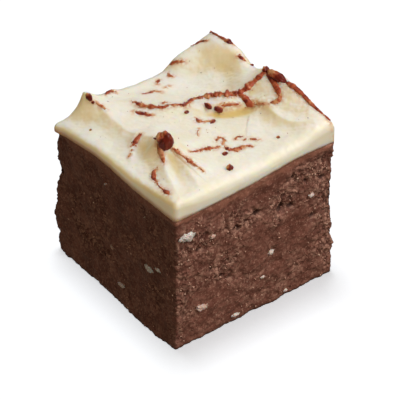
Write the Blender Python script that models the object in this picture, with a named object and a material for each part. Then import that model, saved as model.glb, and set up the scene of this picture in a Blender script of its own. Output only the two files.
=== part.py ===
"""Chocolate praline: a cut square of crumbly brown chocolate under a swirled white chocolate layer.

The block is cut on four sides and stands on a flat base. The white layer was spread and pulled up
with a spatula, so it has long ridges, scooped hollows and pointed peaks, and dark chocolate lies
along its crests. Sizes are in millimetres and MM turns them to Blender's metres. The front corner
is at -X -Y, the right one at +X -Y, the left one at -X +Y and the back one at +X +Y.
"""

import math

import bmesh
import bpy
import numpy as np
from mathutils import Matrix, Vector, noise

MM = 0.001

# Driving dimensions
SIDE = 25.0
HALF = SIDE / 2
BLOCK_FRONT_HEIGHT = 20.8
BLOCK_RISE_X = 0.016
BLOCK_RISE_Y = -0.053
GAP = 0.3
BLOCK_CORNER = 0.3
LAYER_CORNER = 0.45
RIM_RADIUS = 1.4
RIM_TRIM = 0.65
RIM_TRIM_REACH = 3.0
RIM_SHARE = 0.75
RIM_CORNER_POWER = 3
LAYER_PROUD = 0.1
LOBE = 0.3
LOBE_REACH = 1.3

# Mesh fineness: grid cells across a side, rows up it, share of triangles kept after thinning
BLOCK_CELLS = 60
BLOCK_ROWS = 50
BLOCK_KEPT = 0.105
LAYER_CELLS = 84
LAYER_ROWS = 12
LAYER_KEPT = 0.125
WALL_ROWS_SHARE = 0.5
BASE_REACH = 0.06

SMOOTH_ANGLE = math.radians(40)

# Swells in the joint between block and layer: x, y, reach along x, reach along y, height
JOINT_SWELLS = (
    (-12.5, 3.5, 3.0, 6.0, 0.85),
    (6.5, -12.5, 5.0, 3.0, 0.55),
)

# Thickness of the layer without its ridges: x, y, thickness, reach
LEVELS = (
    (-12.5, 12.5, 1.0, 3.0),
    (-12.5, 4.0, 1.1, 4.0),
    (-12.5, -3.0, 1.4, 4.0),
    (-12.5, -8.0, 2.1, 3.5),
    (-12.5, -12.5, 2.6, 3.0),
    (-4.0, -12.5, 2.2, 4.0),
    (4.0, -12.5, 1.9, 4.0),
    (12.5, -12.5, 3.1, 3.5),
    (12.5, -4.0, 4.0, 3.0),
    (12.5, 2.5, 3.0, 2.5),
    (12.5, 8.0, 4.95, 3.0),
    (12.5, 12.5, 4.6, 2.5),
    (8.0, 12.5, 3.3, 2.5),
    (2.0, 12.5, 1.6, 3.0),
    (-4.0, 12.5, 1.9, 3.0),
    (-8.0, 12.5, 2.2, 2.0),
    (-5.0, 4.0, 2.1, 4.0),
    (0.0, 0.0, 2.2, 4.0),
    (5.0, 7.0, 1.6, 3.0),
    (8.5, 6.0, 2.0, 2.0),
    (6.0, -6.0, 2.1, 4.0),
)

# Ridges: points x, y, height, then the width of the flank to the left and to the right of the path
# (a groove has negative heights)
RIDGES = {
    "long": (
        ((-5.5, 9.5, 0.3), (-3.6, 7.4, 0.6), (-1.8, 4.6, 0.8), (0.9, 3.1, 0.7), (4.0, 2.7, 0.8),
         (6.4, 0.7, 1.0), (8.9, 0.1, 1.0), (11.4, 0.2, 0.8)),
        1.6, 0.9,
    ),
    "short": (
        ((1.6, 2.0, 0.2), (3.2, 0.9, 0.7), (4.8, -0.1, 0.7), (7.0, -1.6, 0.3)),
        0.8, 0.45,
    ),
    "short hollow": (
        ((2.3, 0.8, -0.3), (3.6, -0.4, -0.65), (5.0, -1.3, -0.7), (6.7, -2.2, -0.5),
         (7.5, -3.2, -0.1)),
        0.4, 2.0,
    ),
    "right rim": (
        ((12.2, 1.0, 0.8), (12.1, -1.0, 1.4), (12.0, -4.0, 1.2), (12.0, -7.5, 1.0),
         (12.2, -11.0, 0.55)),
        1.0, 1.8,
    ),
    "right terrace": (
        ((7.2, -1.2, 0.3), (8.2, -3.7, 0.75), (8.1, -6.0, 0.75), (8.6, -8.6, 0.6),
         (10.2, -10.4, 0.35), (11.9, -11.3, 0.1)),
        2.4, 0.65,
    ),
    "left crest": (
        ((-8.0, 11.4, 1.1), (-7.7, 9.2, 1.0), (-7.7, 6.5, 0.85), (-7.8, 4.0, 0.75),
         (-7.6, 2.2, 0.85), (-7.0, 0.4, 1.1), (-6.9, -1.6, 1.3)),
        2.8, 1.3,
    ),
    "left spur": (
        ((-7.4, 2.3, 0.3), (-8.6, 1.5, 0.5), (-9.8, 0.3, 0.35), (-11.0, -1.2, 0.1)),
        0.8, 0.8,
    ),
    "front hollow": (
        ((-8.4, 0.4, -0.1), (-8.9, -1.4, -0.4), (-9.6, -3.0, -0.35), (-10.4, -4.4, -0.1)),
        1.6, 1.6,
    ),
    "fan left": (
        ((-7.8, -3.6, 0.3), (-9.0, -5.8, 0.7), (-10.1, -8.4, 0.65), (-11.2, -11.4, 0.3)),
        0.8, 1.2,
    ),
    "fan middle": (
        ((-6.9, -4.4, 0.3), (-6.9, -7.0, 0.55), (-7.5, -9.8, 0.45), (-8.2, -12.0, 0.15)),
        1.4, 0.8,
    ),
    "front": (
        ((-6.6, -3.0, 0.5), (-6.0, -5.0, 0.75), (-5.6, -7.0, 0.6), (-5.2, -9.4, 0.25)),
        0.6, 1.2,
    ),
}
CREST_ROUNDNESS = 0.25

# Peaks: x, y, height, width, lean along x, lean along y
PEAKS = {
    "left": (-8.0, 12.0, 1.5, 0.9, -0.4, 0.0),
    "left bump": (-4.1, 12.0, 0.65, 1.0, 0.0, 0.0),
    "front": (-6.9, -2.9, 2.3, 1.25, -0.4, 0.35),
    "right tip": (12.0, 1.2, 0.2, 0.7, -0.3, 0.2),
}
TIP_ROUNDNESS = 0.39

# Dents in the block's faces: face, place along it, height, reach along, reach up, depth
# (a swelling has a negative depth)
DENTS = (
    ("right", 4.1, 15.7, 0.8, 0.6, 0.6),
    ("right", 5.5, 15.2, 0.9, 0.5, 0.5),
    ("right", 0.1, 16.1, 1.0, 0.5, 0.45),
    ("right", 5.9, 19.1, 0.8, 0.7, 0.4),
    ("right", 10.4, 19.2, 0.8, 0.6, 0.4),
    ("right", -7.0, 10.3, 0.6, 0.5, 0.4),
    ("right", -5.2, 8.5, 0.6, 0.5, 0.4),
    ("right", 3.4, 12.9, 1.4, 0.9, -0.35),
    ("right", 12.5, 13.5, 2.0, 5.0, 0.45),
    ("back right", -12.5, 13.5, 2.5, 5.0, 0.45),
    ("left", 7.6, 6.9, 0.6, 0.5, 0.3),
    ("left", -7.7, 7.3, 1.0, 1.6, -0.15),
    ("left", -6.0, 0.0, 6.0, 3.5, -0.5),
    ("left", 12.5, 6.5, 2.0, 2.6, -0.35),
    ("back left", -12.5, 6.5, 2.0, 2.6, -0.35),
    ("left", 12.5, 13.2, 1.2, 0.8, 0.5),
    ("back left", -12.5, 13.2, 1.2, 0.8, 0.5),
    ("left", 12.5, 19.2, 1.5, 1.2, 0.35),
    ("back left", -12.5, 19.2, 1.5, 1.2, 0.35),
)
SWAY = 0.15
SWAY_LENGTH = 7.0
CRUMB = 0.2
CRUMB_LENGTH = 1.7

# Pale flecks set in the cut faces: face, place along it, height, length, width, slant in degrees
FLECKS = (
    ("right", -10.9, 17.7, 2.2, 1.0, -8),
    ("right", -8.6, 5.0, 1.7, 0.8, -15),
    ("right", 2.5, 8.2, 0.9, 0.6, 10),
    ("right", 1.1, 5.0, 0.7, 0.35, 0),
    ("right", -3.2, 0.9, 1.2, 0.45, 0),
    ("right", 4.9, 0.7, 0.7, 0.35, 0),
    ("right", 8.8, 14.5, 0.8, 0.4, 10),
    ("right", -7.0, 15.9, 0.8, 0.45, 20),
    ("left", -6.9, 9.8, 1.3, 0.8, -40),
    ("left", -8.8, 10.8, 1.1, 0.4, -45),
    ("left", -1.1, 2.9, 1.1, 0.6, -35),
    ("left", 0.6, 8.2, 0.6, 0.2, -50),
)
FLECK_PROUD = 0.13

# Dark chocolate along the crests: how thick it lies (0 to 1), then points x, y, half width
STROKES = {
    "long left": (
        0.5,
        ((-3.7, 7.9, 0.26), (-3.5, 6.7, 0.3), (-2.8, 5.6, 0.24), (-1.8, 4.4, 0.22), (-0.9, 4.1, 0.26),
         (0.2, 3.4, 0.22), (0.9, 2.8, 0.34)),
    ),
    "long": (
        0.45,
        ((0.7, 3.0, 0.3), (1.5, 3.1, 0.26), (2.1, 3.3, 0.34), (2.9, 3.3, 0.32), (3.9, 2.8, 0.36),
         (4.8, 2.4, 0.42), (5.7, 1.4, 0.45), (6.6, 0.4, 0.36)),
    ),
    "long right": (
        0.6,
        ((6.2, 0.8, 0.3), (7.1, 0.0, 0.32), (8.7, -0.2, 0.33), (9.7, -0.3, 0.3), (10.5, -0.2, 0.3),
         (11.2, 0.0, 0.26)),
    ),
    "branch": (0.55, ((6.8, 0.2, 0.3), (7.2, -0.7, 0.36), (7.1, -1.8, 0.46), (7.6, -2.7, 0.4))),
    "branch tail": (0.1, ((7.5, -2.6, 0.25), (7.8, -3.2, 0.2), (8.1, -3.9, 0.16))),
    "hook": (
        0.65,
        ((11.2, -0.2, 0.28), (10.8, -1.6, 0.3), (10.6, -2.6, 0.33), (10.3, -3.7, 0.34),
         (10.0, -4.4, 0.34)),
    ),
    "hook end": (0.3, ((10.1, -4.2, 0.34), (9.7, -4.8, 0.34), (9.1, -4.7, 0.33), (8.6, -4.3, 0.28))),
    "short a": (0.9, ((2.9, 2.2, 0.25), (2.85, 1.5, 0.4), (2.8, 0.9, 0.3))),
    "short b": (0.9, ((3.2, 0.9, 0.28), (3.6, 0.3, 0.42), (4.1, -0.4, 0.3))),
    "short tail": (0.15, ((4.2, 0.0, 0.25), (5.2, -0.6, 0.18), (6.2, -1.2, 0.1))),
    "right rim": (
        0.65,
        ((11.6, -3.7, 0.3), (11.75, -5.0, 0.4), (11.9, -6.4, 0.38), (12.05, -8.0, 0.38),
         (12.1, -9.6, 0.34), (12.1, -10.8, 0.28)),
    ),
    "right corner": (0.7, ((12.2, -10.8, 0.25), (12.1, -11.4, 0.36), (12.1, -12.0, 0.25))),
    "back rim": (
        0.6,
        ((11.9, 11.9, 0.2), (11.8, 10.8, 0.22), (11.7, 9.6, 0.24), (11.7, 8.6, 0.36),
         (12.0, 7.5, 0.24)),
    ),
    "front a": (
        0.3,
        ((-4.8, -5.2, 0.1), (-3.4, -5.4, 0.18), (-2.4, -5.6, 0.27), (-1.5, -6.0, 0.27),
         (-0.8, -6.0, 0.15)),
    ),
    "front b": (
        0.4,
        ((-0.3, -6.4, 0.2), (-0.2, -7.2, 0.26), (0.4, -7.8, 0.32), (1.1, -7.9, 0.32), (1.9, -8.0, 0.24),
         (2.5, -8.6, 0.12)),
    ),
    "left a": (0.6, ((-4.7, 6.4, 0.26), (-4.3, 5.7, 0.34), (-3.9, 5.0, 0.2))),
    "left b": (0.5, ((-7.2, 1.5, 0.16), (-7.8, 1.3, 0.28), (-8.5, 1.1, 0.32), (-9.1, 0.8, 0.24))),
    "left bump": (0.45, ((-5.5, 11.3, 0.2), (-4.7, 11.7, 0.3), (-4.1, 11.2, 0.2))),
    "back left a": (0.35, ((-1.3, 9.2, 0.08), (-0.4, 9.0, 0.12), (0.4, 9.0, 0.24), (1.0, 8.3, 0.2))),
    "back left b": (0.35, ((5.1, 12.0, 0.26), (5.8, 11.3, 0.22), (6.5, 10.5, 0.12))),
    "back left c": (0.4, ((9.0, 12.0, 0.3), (9.8, 11.6, 0.22), (10.2, 10.8, 0.12))),
    "back left d": (0.5, ((1.8, 10.2, 0.28), (2.3, 10.6, 0.24), (2.6, 10.8, 0.12))),
    "back left e": (0.4, ((4.1, 11.0, 0.2), (4.0, 10.5, 0.24), (4.3, 10.0, 0.12))),
    "pair": (0.5, ((0.5, 0.5, 0.28), (0.6, -0.2, 0.34), (0.9, -0.6, 0.18))),
    "left rim a": (
        0.55,
        ((-9.7, -4.8, 0.2), (-10.1, -4.9, 0.28), (-10.7, -5.6, 0.28), (-11.1, -6.6, 0.22)),
    ),
    "left rim b": (
        0.45,
        ((-11.0, -6.5, 0.15), (-11.4, -7.6, 0.1), (-11.5, -8.6, 0.12), (-11.6, -9.5, 0.28),
         (-11.7, -10.1, 0.15)),
    ),
    "front ridge": (
        0.4,
        ((-6.7, -4.4, 0.12), (-6.5, -5.1, 0.22), (-6.4, -5.8, 0.14), (-6.2, -6.8, 0.3),
         (-6.1, -7.6, 0.26), (-5.9, -8.6, 0.12), (-5.7, -9.4, 0.08)),
    ),
    "front drip": (
        0.2,
        ((-7.7, -2.9, 0.4), (-8.0, -3.6, 0.38), (-8.3, -4.4, 0.26), (-8.6, -5.0, 0.15)),
    ),
}
STROKE_STEP = 0.9
STROKE_LUMPS = 0.35
STROKE_ROUNDNESS = 0.65
STROKE_SUNK = 0.4
STROKE_BEVEL = 1

# Dark caps on the peaks and loose drops: x, y, height above the layer, radii along x, y and z, and
# how far each is turned, in degrees
CAPS = {
    "front": (-6.8, -3.5, -0.5, 0.95, 0.9, 1.5, 0),
    "front shoulder": (-7.1, -3.0, 0.2, 0.75, 0.55, 0.65, 40),
    "front tail": (-7.7, -2.7, 0.55, 0.55, 0.2, 0.16, -50),
    "right": (11.4, -2.2, 0.0, 0.62, 1.6, 0.55, 4),
    "right tip": (11.3, 0.0, 0.05, 0.45, 0.45, 0.42, 0),
    "left": (-8.1, 11.2, -0.05, 0.35, 0.75, 0.4, -10),
    "left drop": (-8.1, 10.5, 0.0, 0.2, 0.3, 0.2, 0),
    "back": (11.9, 12.0, -0.05, 0.22, 0.3, 0.2, 0),
    "back rim": (11.75, 8.2, 0.0, 0.35, 0.55, 0.35, 0),
    "back dot": (12.0, 3.7, 0.0, 0.28, 0.25, 0.22, 0),
    "drop": (-2.6, -10.5, 0.1, 0.42, 0.42, 0.45, 30),
    "small drop": (-1.2, -7.7, 0.0, 0.42, 0.32, 0.25, 0),
    "dot": (0.3, 2.1, 0.0, 0.35, 0.26, 0.2, 0),
    "pair dot": (1.9, -1.2, 0.0, 0.42, 0.3, 0.25, 20),
}
CAP_LUMPS = 0.14


def bump(u, v, reach_u, reach_v):
    """A smooth round rise of height 1 at the middle."""
    return np.exp(-((u / reach_u) ** 2) - (v / reach_v) ** 2)


def block_top(x, y):
    """Height of the joint between the block and the layer."""
    z = BLOCK_FRONT_HEIGHT + BLOCK_RISE_X * (x + HALF) + BLOCK_RISE_Y * (y + HALF)
    for at_x, at_y, reach_x, reach_y, height in JOINT_SWELLS:
        z = z + height * bump(x - at_x, y - at_y, reach_x, reach_y)
    return z


def level(x, y):
    """Thickness of the layer without its ridges and peaks, blended between the named places."""
    total = np.zeros(np.shape(x))
    weights = np.full(np.shape(x), 1e-9)
    for at_x, at_y, thickness, reach in LEVELS:
        weight = bump(x - at_x, y - at_y, reach, reach)
        total = total + weight * thickness
        weights = weights + weight
    return total / weights


def smooth_path(points, steps):
    """Points of a Catmull-Rom curve through the given points."""
    given = np.array(points, float)
    first = 2 * given[0] - given[1]
    last = 2 * given[-1] - given[-2]
    knots = np.vstack([first, given, last])
    path = []
    for a, b, c, d in zip(knots, knots[1:], knots[2:], knots[3:]):
        for t in np.arange(steps) / steps:
            curve = 2 * b + (c - a) * t
            curve = curve + (2 * a - 5 * b + 4 * c - d) * t**2
            curve = curve + (3 * b - a - 3 * c + d) * t**3
            path.append(curve / 2)
    path.append(given[-1])
    return np.array(path)


def ridge(x, y, points, left, right):
    """Height that a ridge adds: a rounded crest with hollow flanks along its path."""
    path = smooth_path(points, 8)
    nearest = np.full(np.shape(x), 1e9)
    height = np.zeros(np.shape(x))
    width = np.full(np.shape(x), left)
    for start, end in zip(path, path[1:]):
        run_x, run_y = end[:2] - start[:2]
        away_x, away_y = x - start[0], y - start[1]
        share = np.clip((away_x * run_x + away_y * run_y) / (run_x**2 + run_y**2), 0, 1)
        distance = np.hypot(away_x - share * run_x, away_y - share * run_y)
        closer = distance < nearest
        nearest = np.where(closer, distance, nearest)
        height = np.where(closer, start[2] + share * (end[2] - start[2]), height)
        on_left = run_x * away_y > run_y * away_x
        width = np.where(closer, np.where(on_left, left, right), width)
    reach = np.sqrt(nearest**2 + CREST_ROUNDNESS**2) - CREST_ROUNDNESS
    return height * np.exp(-reach / width)


def peak(x, y, at_x, at_y, width):
    """A spike of height 1 with a hollow flank and a rounded tip."""
    distance = np.hypot(x - at_x, y - at_y)
    reach = np.sqrt(distance**2 + TIP_ROUNDNESS**2) - TIP_ROUNDNESS
    return np.exp(-reach / width)


def layer_thickness(x, y):
    """Thickness of the white layer with its ridges and peaks."""
    thickness = level(x, y)
    for points, left, right in RIDGES.values():
        thickness = thickness + ridge(x, y, points, left, right)
    for at_x, at_y, height, width, _, _ in PEAKS.values():
        thickness = thickness + height * peak(x, y, at_x, at_y, width)
    return thickness


def rim_radius(x, y):
    """Roundness of the layer's upper edge, which is crisper on the left side."""
    radius = RIM_RADIUS - RIM_TRIM * np.exp(-(((x + HALF) / RIM_TRIM_REACH) ** 2))
    return np.minimum(radius, RIM_SHARE * layer_thickness(x, y))


def lean(x, y):
    """Sideways shift of the peaks, which bend over towards their tips."""
    shift_x = np.zeros(np.shape(x))
    shift_y = np.zeros(np.shape(x))
    for at_x, at_y, _, width, lean_x, lean_y in PEAKS.values():
        bend = peak(x, y, at_x, at_y, width) ** 2
        shift_x = shift_x + lean_x * bend
        shift_y = shift_y + lean_y * bend
    return shift_x, shift_y


def grid_cube(cells, rows):
    """A cube from -1 to 1 cut into cells across and rows upward."""
    bm = bmesh.new()
    bmesh.ops.create_cube(bm, size=2)
    upright = [e for e in bm.edges if abs(e.verts[0].co.z - e.verts[1].co.z) > 1]
    bmesh.ops.subdivide_edges(bm, edges=upright, cuts=rows - 1)
    level_edges = [e for e in bm.edges if abs(e.verts[0].co.z - e.verts[1].co.z) < 1e-6]
    bmesh.ops.subdivide_edges(bm, edges=level_edges, cuts=cells - 1, use_grid_fill=True)
    return bm


def object_from(bm, name, place, collection):
    """Moves the grid cube's points by place(x, y, z) and makes an object of it."""
    mesh = bpy.data.meshes.new(name)
    bm.to_mesh(mesh)
    bm.free()
    unit = np.empty(len(mesh.vertices) * 3)
    mesh.vertices.foreach_get("co", unit)
    x, y, z = place(*unit.reshape(-1, 3).T)
    points = np.round(np.stack([x, y, z], axis=-1), 4) * MM
    mesh.vertices.foreach_set("co", points.ravel())
    mesh.update()
    obj = bpy.data.objects.new(name, mesh)
    collection.objects.link(obj)
    return obj


def outline(x, y, inset, radius):
    """Moves points of a square ring onto one with round corners, set in from the outline.

    x and y run from -1 to 1. Also returns the outward direction.
    """
    size = np.maximum(np.abs(x), np.abs(y)) * HALF
    share = np.divide(size - inset, size, out=np.ones_like(size), where=size > 0) * HALF
    straight = np.maximum(size - inset - radius, 0)
    inner_x = np.clip(x * share, -straight, straight)
    inner_y = np.clip(y * share, -straight, straight)
    away_x = x * share - inner_x
    away_y = y * share - inner_y
    length = np.hypot(away_x, away_y)
    out_x = np.divide(away_x, length, out=np.zeros_like(length), where=length > 0)
    out_y = np.divide(away_y, length, out=np.zeros_like(length), where=length > 0)
    return inner_x + out_x * radius, inner_y + out_y * radius, out_x, out_y


def fractal(x, y, z, length, seed):
    """Noise from about -1 to 1 with features of the given length."""
    offset = Vector((seed, 2 * seed, 3 * seed))
    values = [
        noise.fractal(Vector(p) / length + offset, 0.6, 2.1, 3, noise_basis="PERLIN_ORIGINAL")
        for p in zip(x, y, z)
    ]
    return np.array(values)


def block_relief(x, y, z, out_x, out_y):
    """How far the block's cut faces stand out at each point: sway, crumb and dents."""
    sway = SWAY * fractal(x, y, z, SWAY_LENGTH, 11)
    crumb = CRUMB * fractal(x, y, z, CRUMB_LENGTH, 23)
    relief = sway + crumb
    faces = {
        "right": (-out_y, x),
        "left": (-out_x, y),
        "back right": (out_x, y),
        "back left": (out_y, x),
    }
    for face, along, height, reach_along, reach_up, depth in DENTS:
        facing, place = faces[face]
        dent = depth * bump(place - along, z - height, reach_along, reach_up)
        relief = relief - dent * np.clip(facing, 0, 1)
    return relief


def on_face(face, along, height):
    """A point on the right or left cut face, crumb and dents included."""
    out_x, out_y = (0, -1) if face == "right" else (-1, 0)
    x, y = (along, -HALF) if face == "right" else (-HALF, along)
    one = [np.array([float(v)]) for v in (x, y, height, out_x, out_y)]
    relief = float(block_relief(*one)[0])
    return x + out_x * relief, y + out_y * relief, height


def across_edge(x, y, width):
    """0 further in than the given width, 1 at the square's outline, for x and y from -1 to 1."""
    size = np.maximum(np.abs(x), np.abs(y)) * HALF
    return np.clip((size - (HALF - width)) / width, 0, 1)


def place_block(x, y, z):
    """The cut block: flat base, crumbly upright faces and a top that follows the joint."""
    across = across_edge(x, y, BLOCK_CORNER)
    px, py, out_x, out_y = outline(x, y, 0, BLOCK_CORNER * across)
    up = (z + 1) / 2
    pz = up * (block_top(px, py) - GAP / 2)
    relief = block_relief(px, py, pz, out_x, out_y) * across
    return px + out_x * relief, py + out_y * relief, pz


def place_layer(x, y, z):
    """The white layer: its underside follows the joint and its rim is rounded."""
    rim = rim_radius(x * HALF, y * HALF)
    across = across_edge(x, y, rim)
    across_x = np.clip((np.abs(x) * HALF - (HALF - rim)) / rim, 0, 1)
    across_y = np.clip((np.abs(y) * HALF - (HALF - rim)) / rim, 0, 1)
    power = RIM_CORNER_POWER
    rounded = (across_x**power + across_y**power) ** (1 / power)
    top = z > 1 - 1e-6
    bottom = z < -1 + 1e-6
    turn = math.pi / 2 - rounded * math.pi / 4
    up = (z + 1) / 2
    wall = np.clip(up / WALL_ROWS_SHARE, 0, 1)
    bend = np.clip((up - WALL_ROWS_SHARE) / (1 - WALL_ROWS_SHARE), 0, 1)
    turn = np.where(top, turn, turn * bend)
    inset = np.where(bottom, 0, rim * (across - np.cos(turn)))
    px, py, out_x, out_y = outline(x, y, inset, LAYER_CORNER * across)
    thickness = layer_thickness(px, py)
    joint = block_top(px, py) + GAP / 2
    body = thickness - rim - GAP / 2
    pz = joint + body * wall + rim * np.sin(turn)
    pz = np.where(bottom, joint, pz)
    shift_x, shift_y = lean(px, py)
    proud = (LAYER_PROUD + LOBE * bump(px + HALF, py - HALF, LOBE_REACH, LOBE_REACH)) * across
    px = px + out_x * proud + shift_x * top
    py = py + out_y * proud + shift_y * top
    return px, py, pz


def layer_surface(x, y):
    """Height of the layer's top, its rounded rim included."""
    thickness = layer_thickness(x, y)
    rim = rim_radius(x, y)
    edge = HALF + LAYER_PROUD - np.maximum(np.abs(x), np.abs(y))
    over = np.clip(rim - edge, 0, rim)
    return block_top(x, y) + thickness - rim + np.sqrt(rim**2 - over**2)


def leaned(x, y):
    """Where a point of the layer's top lies after the peaks' lean."""
    x, y = np.array(x, float), np.array(y, float)
    shift_x, shift_y = lean(x, y)
    return x + shift_x, y + shift_y, layer_surface(x, y)


def material(name, colour, roughness):
    """A Principled material with a plain colour."""
    made = bpy.data.materials.new(name)
    made.use_nodes = True
    shader = made.node_tree.nodes["Principled BSDF"]
    shader.inputs["Base Color"].default_value = (*colour, 1)
    shader.inputs["Roughness"].default_value = roughness
    shader.inputs["Metallic"].default_value = 0
    return made


def collection_named(name):
    """A new collection in the scene."""
    made = bpy.data.collections.new(name)
    bpy.context.scene.collection.children.link(made)
    return made


def thinned(obj, ratio):
    """Applies a Decimate modifier that keeps the given share of the triangles."""
    modifier = obj.modifiers.new("Thin", "DECIMATE")
    modifier.ratio = ratio
    modifier.use_collapse_triangulate = True
    apply_modifier(obj, modifier)


def apply_modifier(obj, modifier):
    """Makes a modifier's result the object's mesh."""
    bpy.context.view_layer.objects.active = obj
    bpy.ops.object.modifier_apply(modifier=modifier.name)


def flat_based(obj):
    """Makes the base one exactly flat face, as thinning lifts its edge here and there."""
    bm = bmesh.new()
    bm.from_mesh(obj.data)
    for vert in bm.verts:
        if vert.co.z < BASE_REACH * MM:
            vert.co.z = 0
    base = [f for f in bm.faces if all(v.co.z == 0 for v in f.verts)]
    bmesh.ops.dissolve_faces(bm, faces=base)
    bm.to_mesh(obj.data)
    bm.free()


def join_all(obj, pieces):
    """Joins every object of a collection to obj with one Boolean union, then removes them."""
    modifier = obj.modifiers.new("Join", "BOOLEAN")
    modifier.operation = "UNION"
    modifier.operand_type = "COLLECTION"
    modifier.collection = pieces
    modifier.solver = "EXACT"
    apply_modifier(obj, modifier)
    for piece in list(pieces.objects):
        bpy.data.objects.remove(piece)
    bpy.data.collections.remove(pieces)


def smooth_shaded(obj):
    """Smooth shading with creases kept."""
    obj.data.shade_smooth()
    obj.data.set_sharp_from_angle(angle=SMOOTH_ANGLE)


def stroke(name, points, collection):
    """A lumpy strand of dark chocolate, half sunk in the layer, as a bevelled curve made a mesh."""
    length = sum(math.dist(a[:2], b[:2]) for a, b in zip(points, points[1:]))
    steps = max(2, round(length / STROKE_STEP / (len(points) - 1)))
    path = smooth_path(points, steps)
    xs, ys, zs = leaned(path[:, 0], path[:, 1])
    curve = bpy.data.curves.new(name, "CURVE")
    curve.dimensions = "3D"
    curve.bevel_depth = STROKE_ROUNDNESS * MM
    curve.bevel_resolution = STROKE_BEVEL
    curve.use_fill_caps = True
    spline = curve.splines.new("POLY")
    spline.points.add(len(path) - 1)
    last = len(path) - 1
    for i, (point, x, y, z, half) in enumerate(zip(spline.points, xs, ys, zs, path[:, 2])):
        lump = noise.noise(Vector((x, y, z)) * 1.3)
        taper = 0.6 if i in (0, last) else 1.0
        low = z - STROKE_SUNK * STROKE_ROUNDNESS * half
        point.co = (x * MM, y * MM, low * MM, 1)
        point.radius = half * taper * (1 + STROKE_LUMPS * lump)
    holder = bpy.data.objects.new(name, curve)
    collection.objects.link(holder)
    graph = bpy.context.evaluated_depsgraph_get()
    mesh = bpy.data.meshes.new_from_object(holder.evaluated_get(graph))
    bm = bmesh.new()
    bm.from_mesh(mesh)
    bmesh.ops.remove_doubles(bm, verts=bm.verts, dist=0.001 * MM)
    bm.to_mesh(mesh)
    bm.free()
    strand = bpy.data.objects.new(name + " strand", mesh)
    strand.matrix_world = holder.matrix_world
    collection.objects.link(strand)
    bpy.data.objects.remove(holder)
    bpy.data.curves.remove(curve)


def lump(name, centre, radii, turn, lumpiness, collection):
    """A squashed ball with an uneven surface; turn is a rotation about Z, then about Y."""
    bm = bmesh.new()
    bmesh.ops.create_icosphere(bm, subdivisions=2, radius=1)
    for vert in bm.verts:
        vert.co *= 1 + lumpiness * noise.noise(vert.co * 1.7 + Vector(centre))
        vert.co = Vector(a * b for a, b in zip(vert.co, radii))
    mesh = bpy.data.meshes.new(name)
    bm.to_mesh(mesh)
    bm.free()
    mesh.transform(turn)
    obj = bpy.data.objects.new(name, mesh)
    obj.location = Vector(centre) * MM
    obj.scale = (MM, MM, MM)
    collection.objects.link(obj)
    return obj


def make_block(collection):
    """The crumbly brown block with its pale flecks."""
    block = object_from(grid_cube(BLOCK_CELLS, BLOCK_ROWS), "praline_block", place_block, collection)
    thinned(block, BLOCK_KEPT)
    flat_based(block)
    flecks = collection_named("flecks")
    for i, (face, along, height, length, width, slant) in enumerate(FLECKS):
        centre = on_face(face, along, height)
        turn = 0 if face == "right" else -math.pi / 2
        tilt = rotation(turn, math.radians(-slant))
        radii = (length / 2, FLECK_PROUD, width / 2)
        lump(f"fleck {i}", centre, radii, tilt, CAP_LUMPS, flecks)
    join_all(block, flecks)
    block.data.materials.clear()
    block.data.materials.append(material("milk chocolate fudge", (0.13, 0.05, 0.032), 0.6))
    smooth_shaded(block)


def rotation(about_z, about_y):
    """A rotation about Y, then about Z."""
    return Matrix.Rotation(about_z, 4, "Z") @ Matrix.Rotation(about_y, 4, "Y")


def make_layer(collection):
    """The swirled white layer with the dark chocolate on its crests."""
    layer = object_from(grid_cube(LAYER_CELLS, LAYER_ROWS), "white_top", place_layer, collection)
    thinned(layer, LAYER_KEPT)
    dark = collection_named("dark")
    for name, (_, points) in STROKES.items():
        stroke("stroke " + name, points, dark)
    for name, (x, y, rise, long, wide, high, heading) in CAPS.items():
        x, y, z = leaned(x, y)
        centre = (float(x), float(y), float(z) + rise)
        turn = rotation(math.radians(heading), 0)
        lump("cap " + name, centre, (long, wide, high), turn, CAP_LUMPS, dark)
    join_all(layer, dark)
    layer.data.materials.clear()
    layer.data.materials.append(material("white chocolate", (0.86, 0.8, 0.64), 0.4))
    smooth_shaded(layer)


def main():
    for obj in list(bpy.data.objects):
        bpy.data.objects.remove(obj)
    praline = collection_named("chocolate praline")
    make_block(praline)
    make_layer(praline)


main()
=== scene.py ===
"""Chocolate praline, dressed: a crumbly cut block of chocolate fudge under swirled white chocolate.

It is laid out as an add-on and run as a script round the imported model, which it loads as its frame.
Tables and shape functions are in millimetres, as in the part's source, and MM turns them to metres.
The front corner is at -X -Y, the right one at +X -Y, the left one at -X +Y, the back one at +X +Y.
"""

import math

import bmesh
import bpy
import numpy as np
from mathutils import Matrix, Vector, noise


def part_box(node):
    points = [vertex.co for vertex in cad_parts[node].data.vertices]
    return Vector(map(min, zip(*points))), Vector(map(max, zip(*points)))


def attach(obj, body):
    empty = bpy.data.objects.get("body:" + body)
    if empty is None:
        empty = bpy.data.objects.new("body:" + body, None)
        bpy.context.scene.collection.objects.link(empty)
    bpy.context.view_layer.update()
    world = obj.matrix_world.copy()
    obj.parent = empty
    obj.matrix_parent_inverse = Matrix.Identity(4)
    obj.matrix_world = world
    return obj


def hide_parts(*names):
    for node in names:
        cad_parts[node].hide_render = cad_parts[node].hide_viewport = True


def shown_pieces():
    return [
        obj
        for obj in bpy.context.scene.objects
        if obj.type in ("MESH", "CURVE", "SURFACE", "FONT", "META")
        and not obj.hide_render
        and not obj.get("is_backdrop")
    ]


bl_info = {
    "name": "Chocolate praline",
    "version": (1, 0, 0),
    "blender": (4, 5, 0),
    "location": "View3D > Sidebar > Praline",
    "description": "Dresses a packed chocolate praline with fudge, white chocolate and dark chocolate",
    "category": "Object",
}

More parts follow.
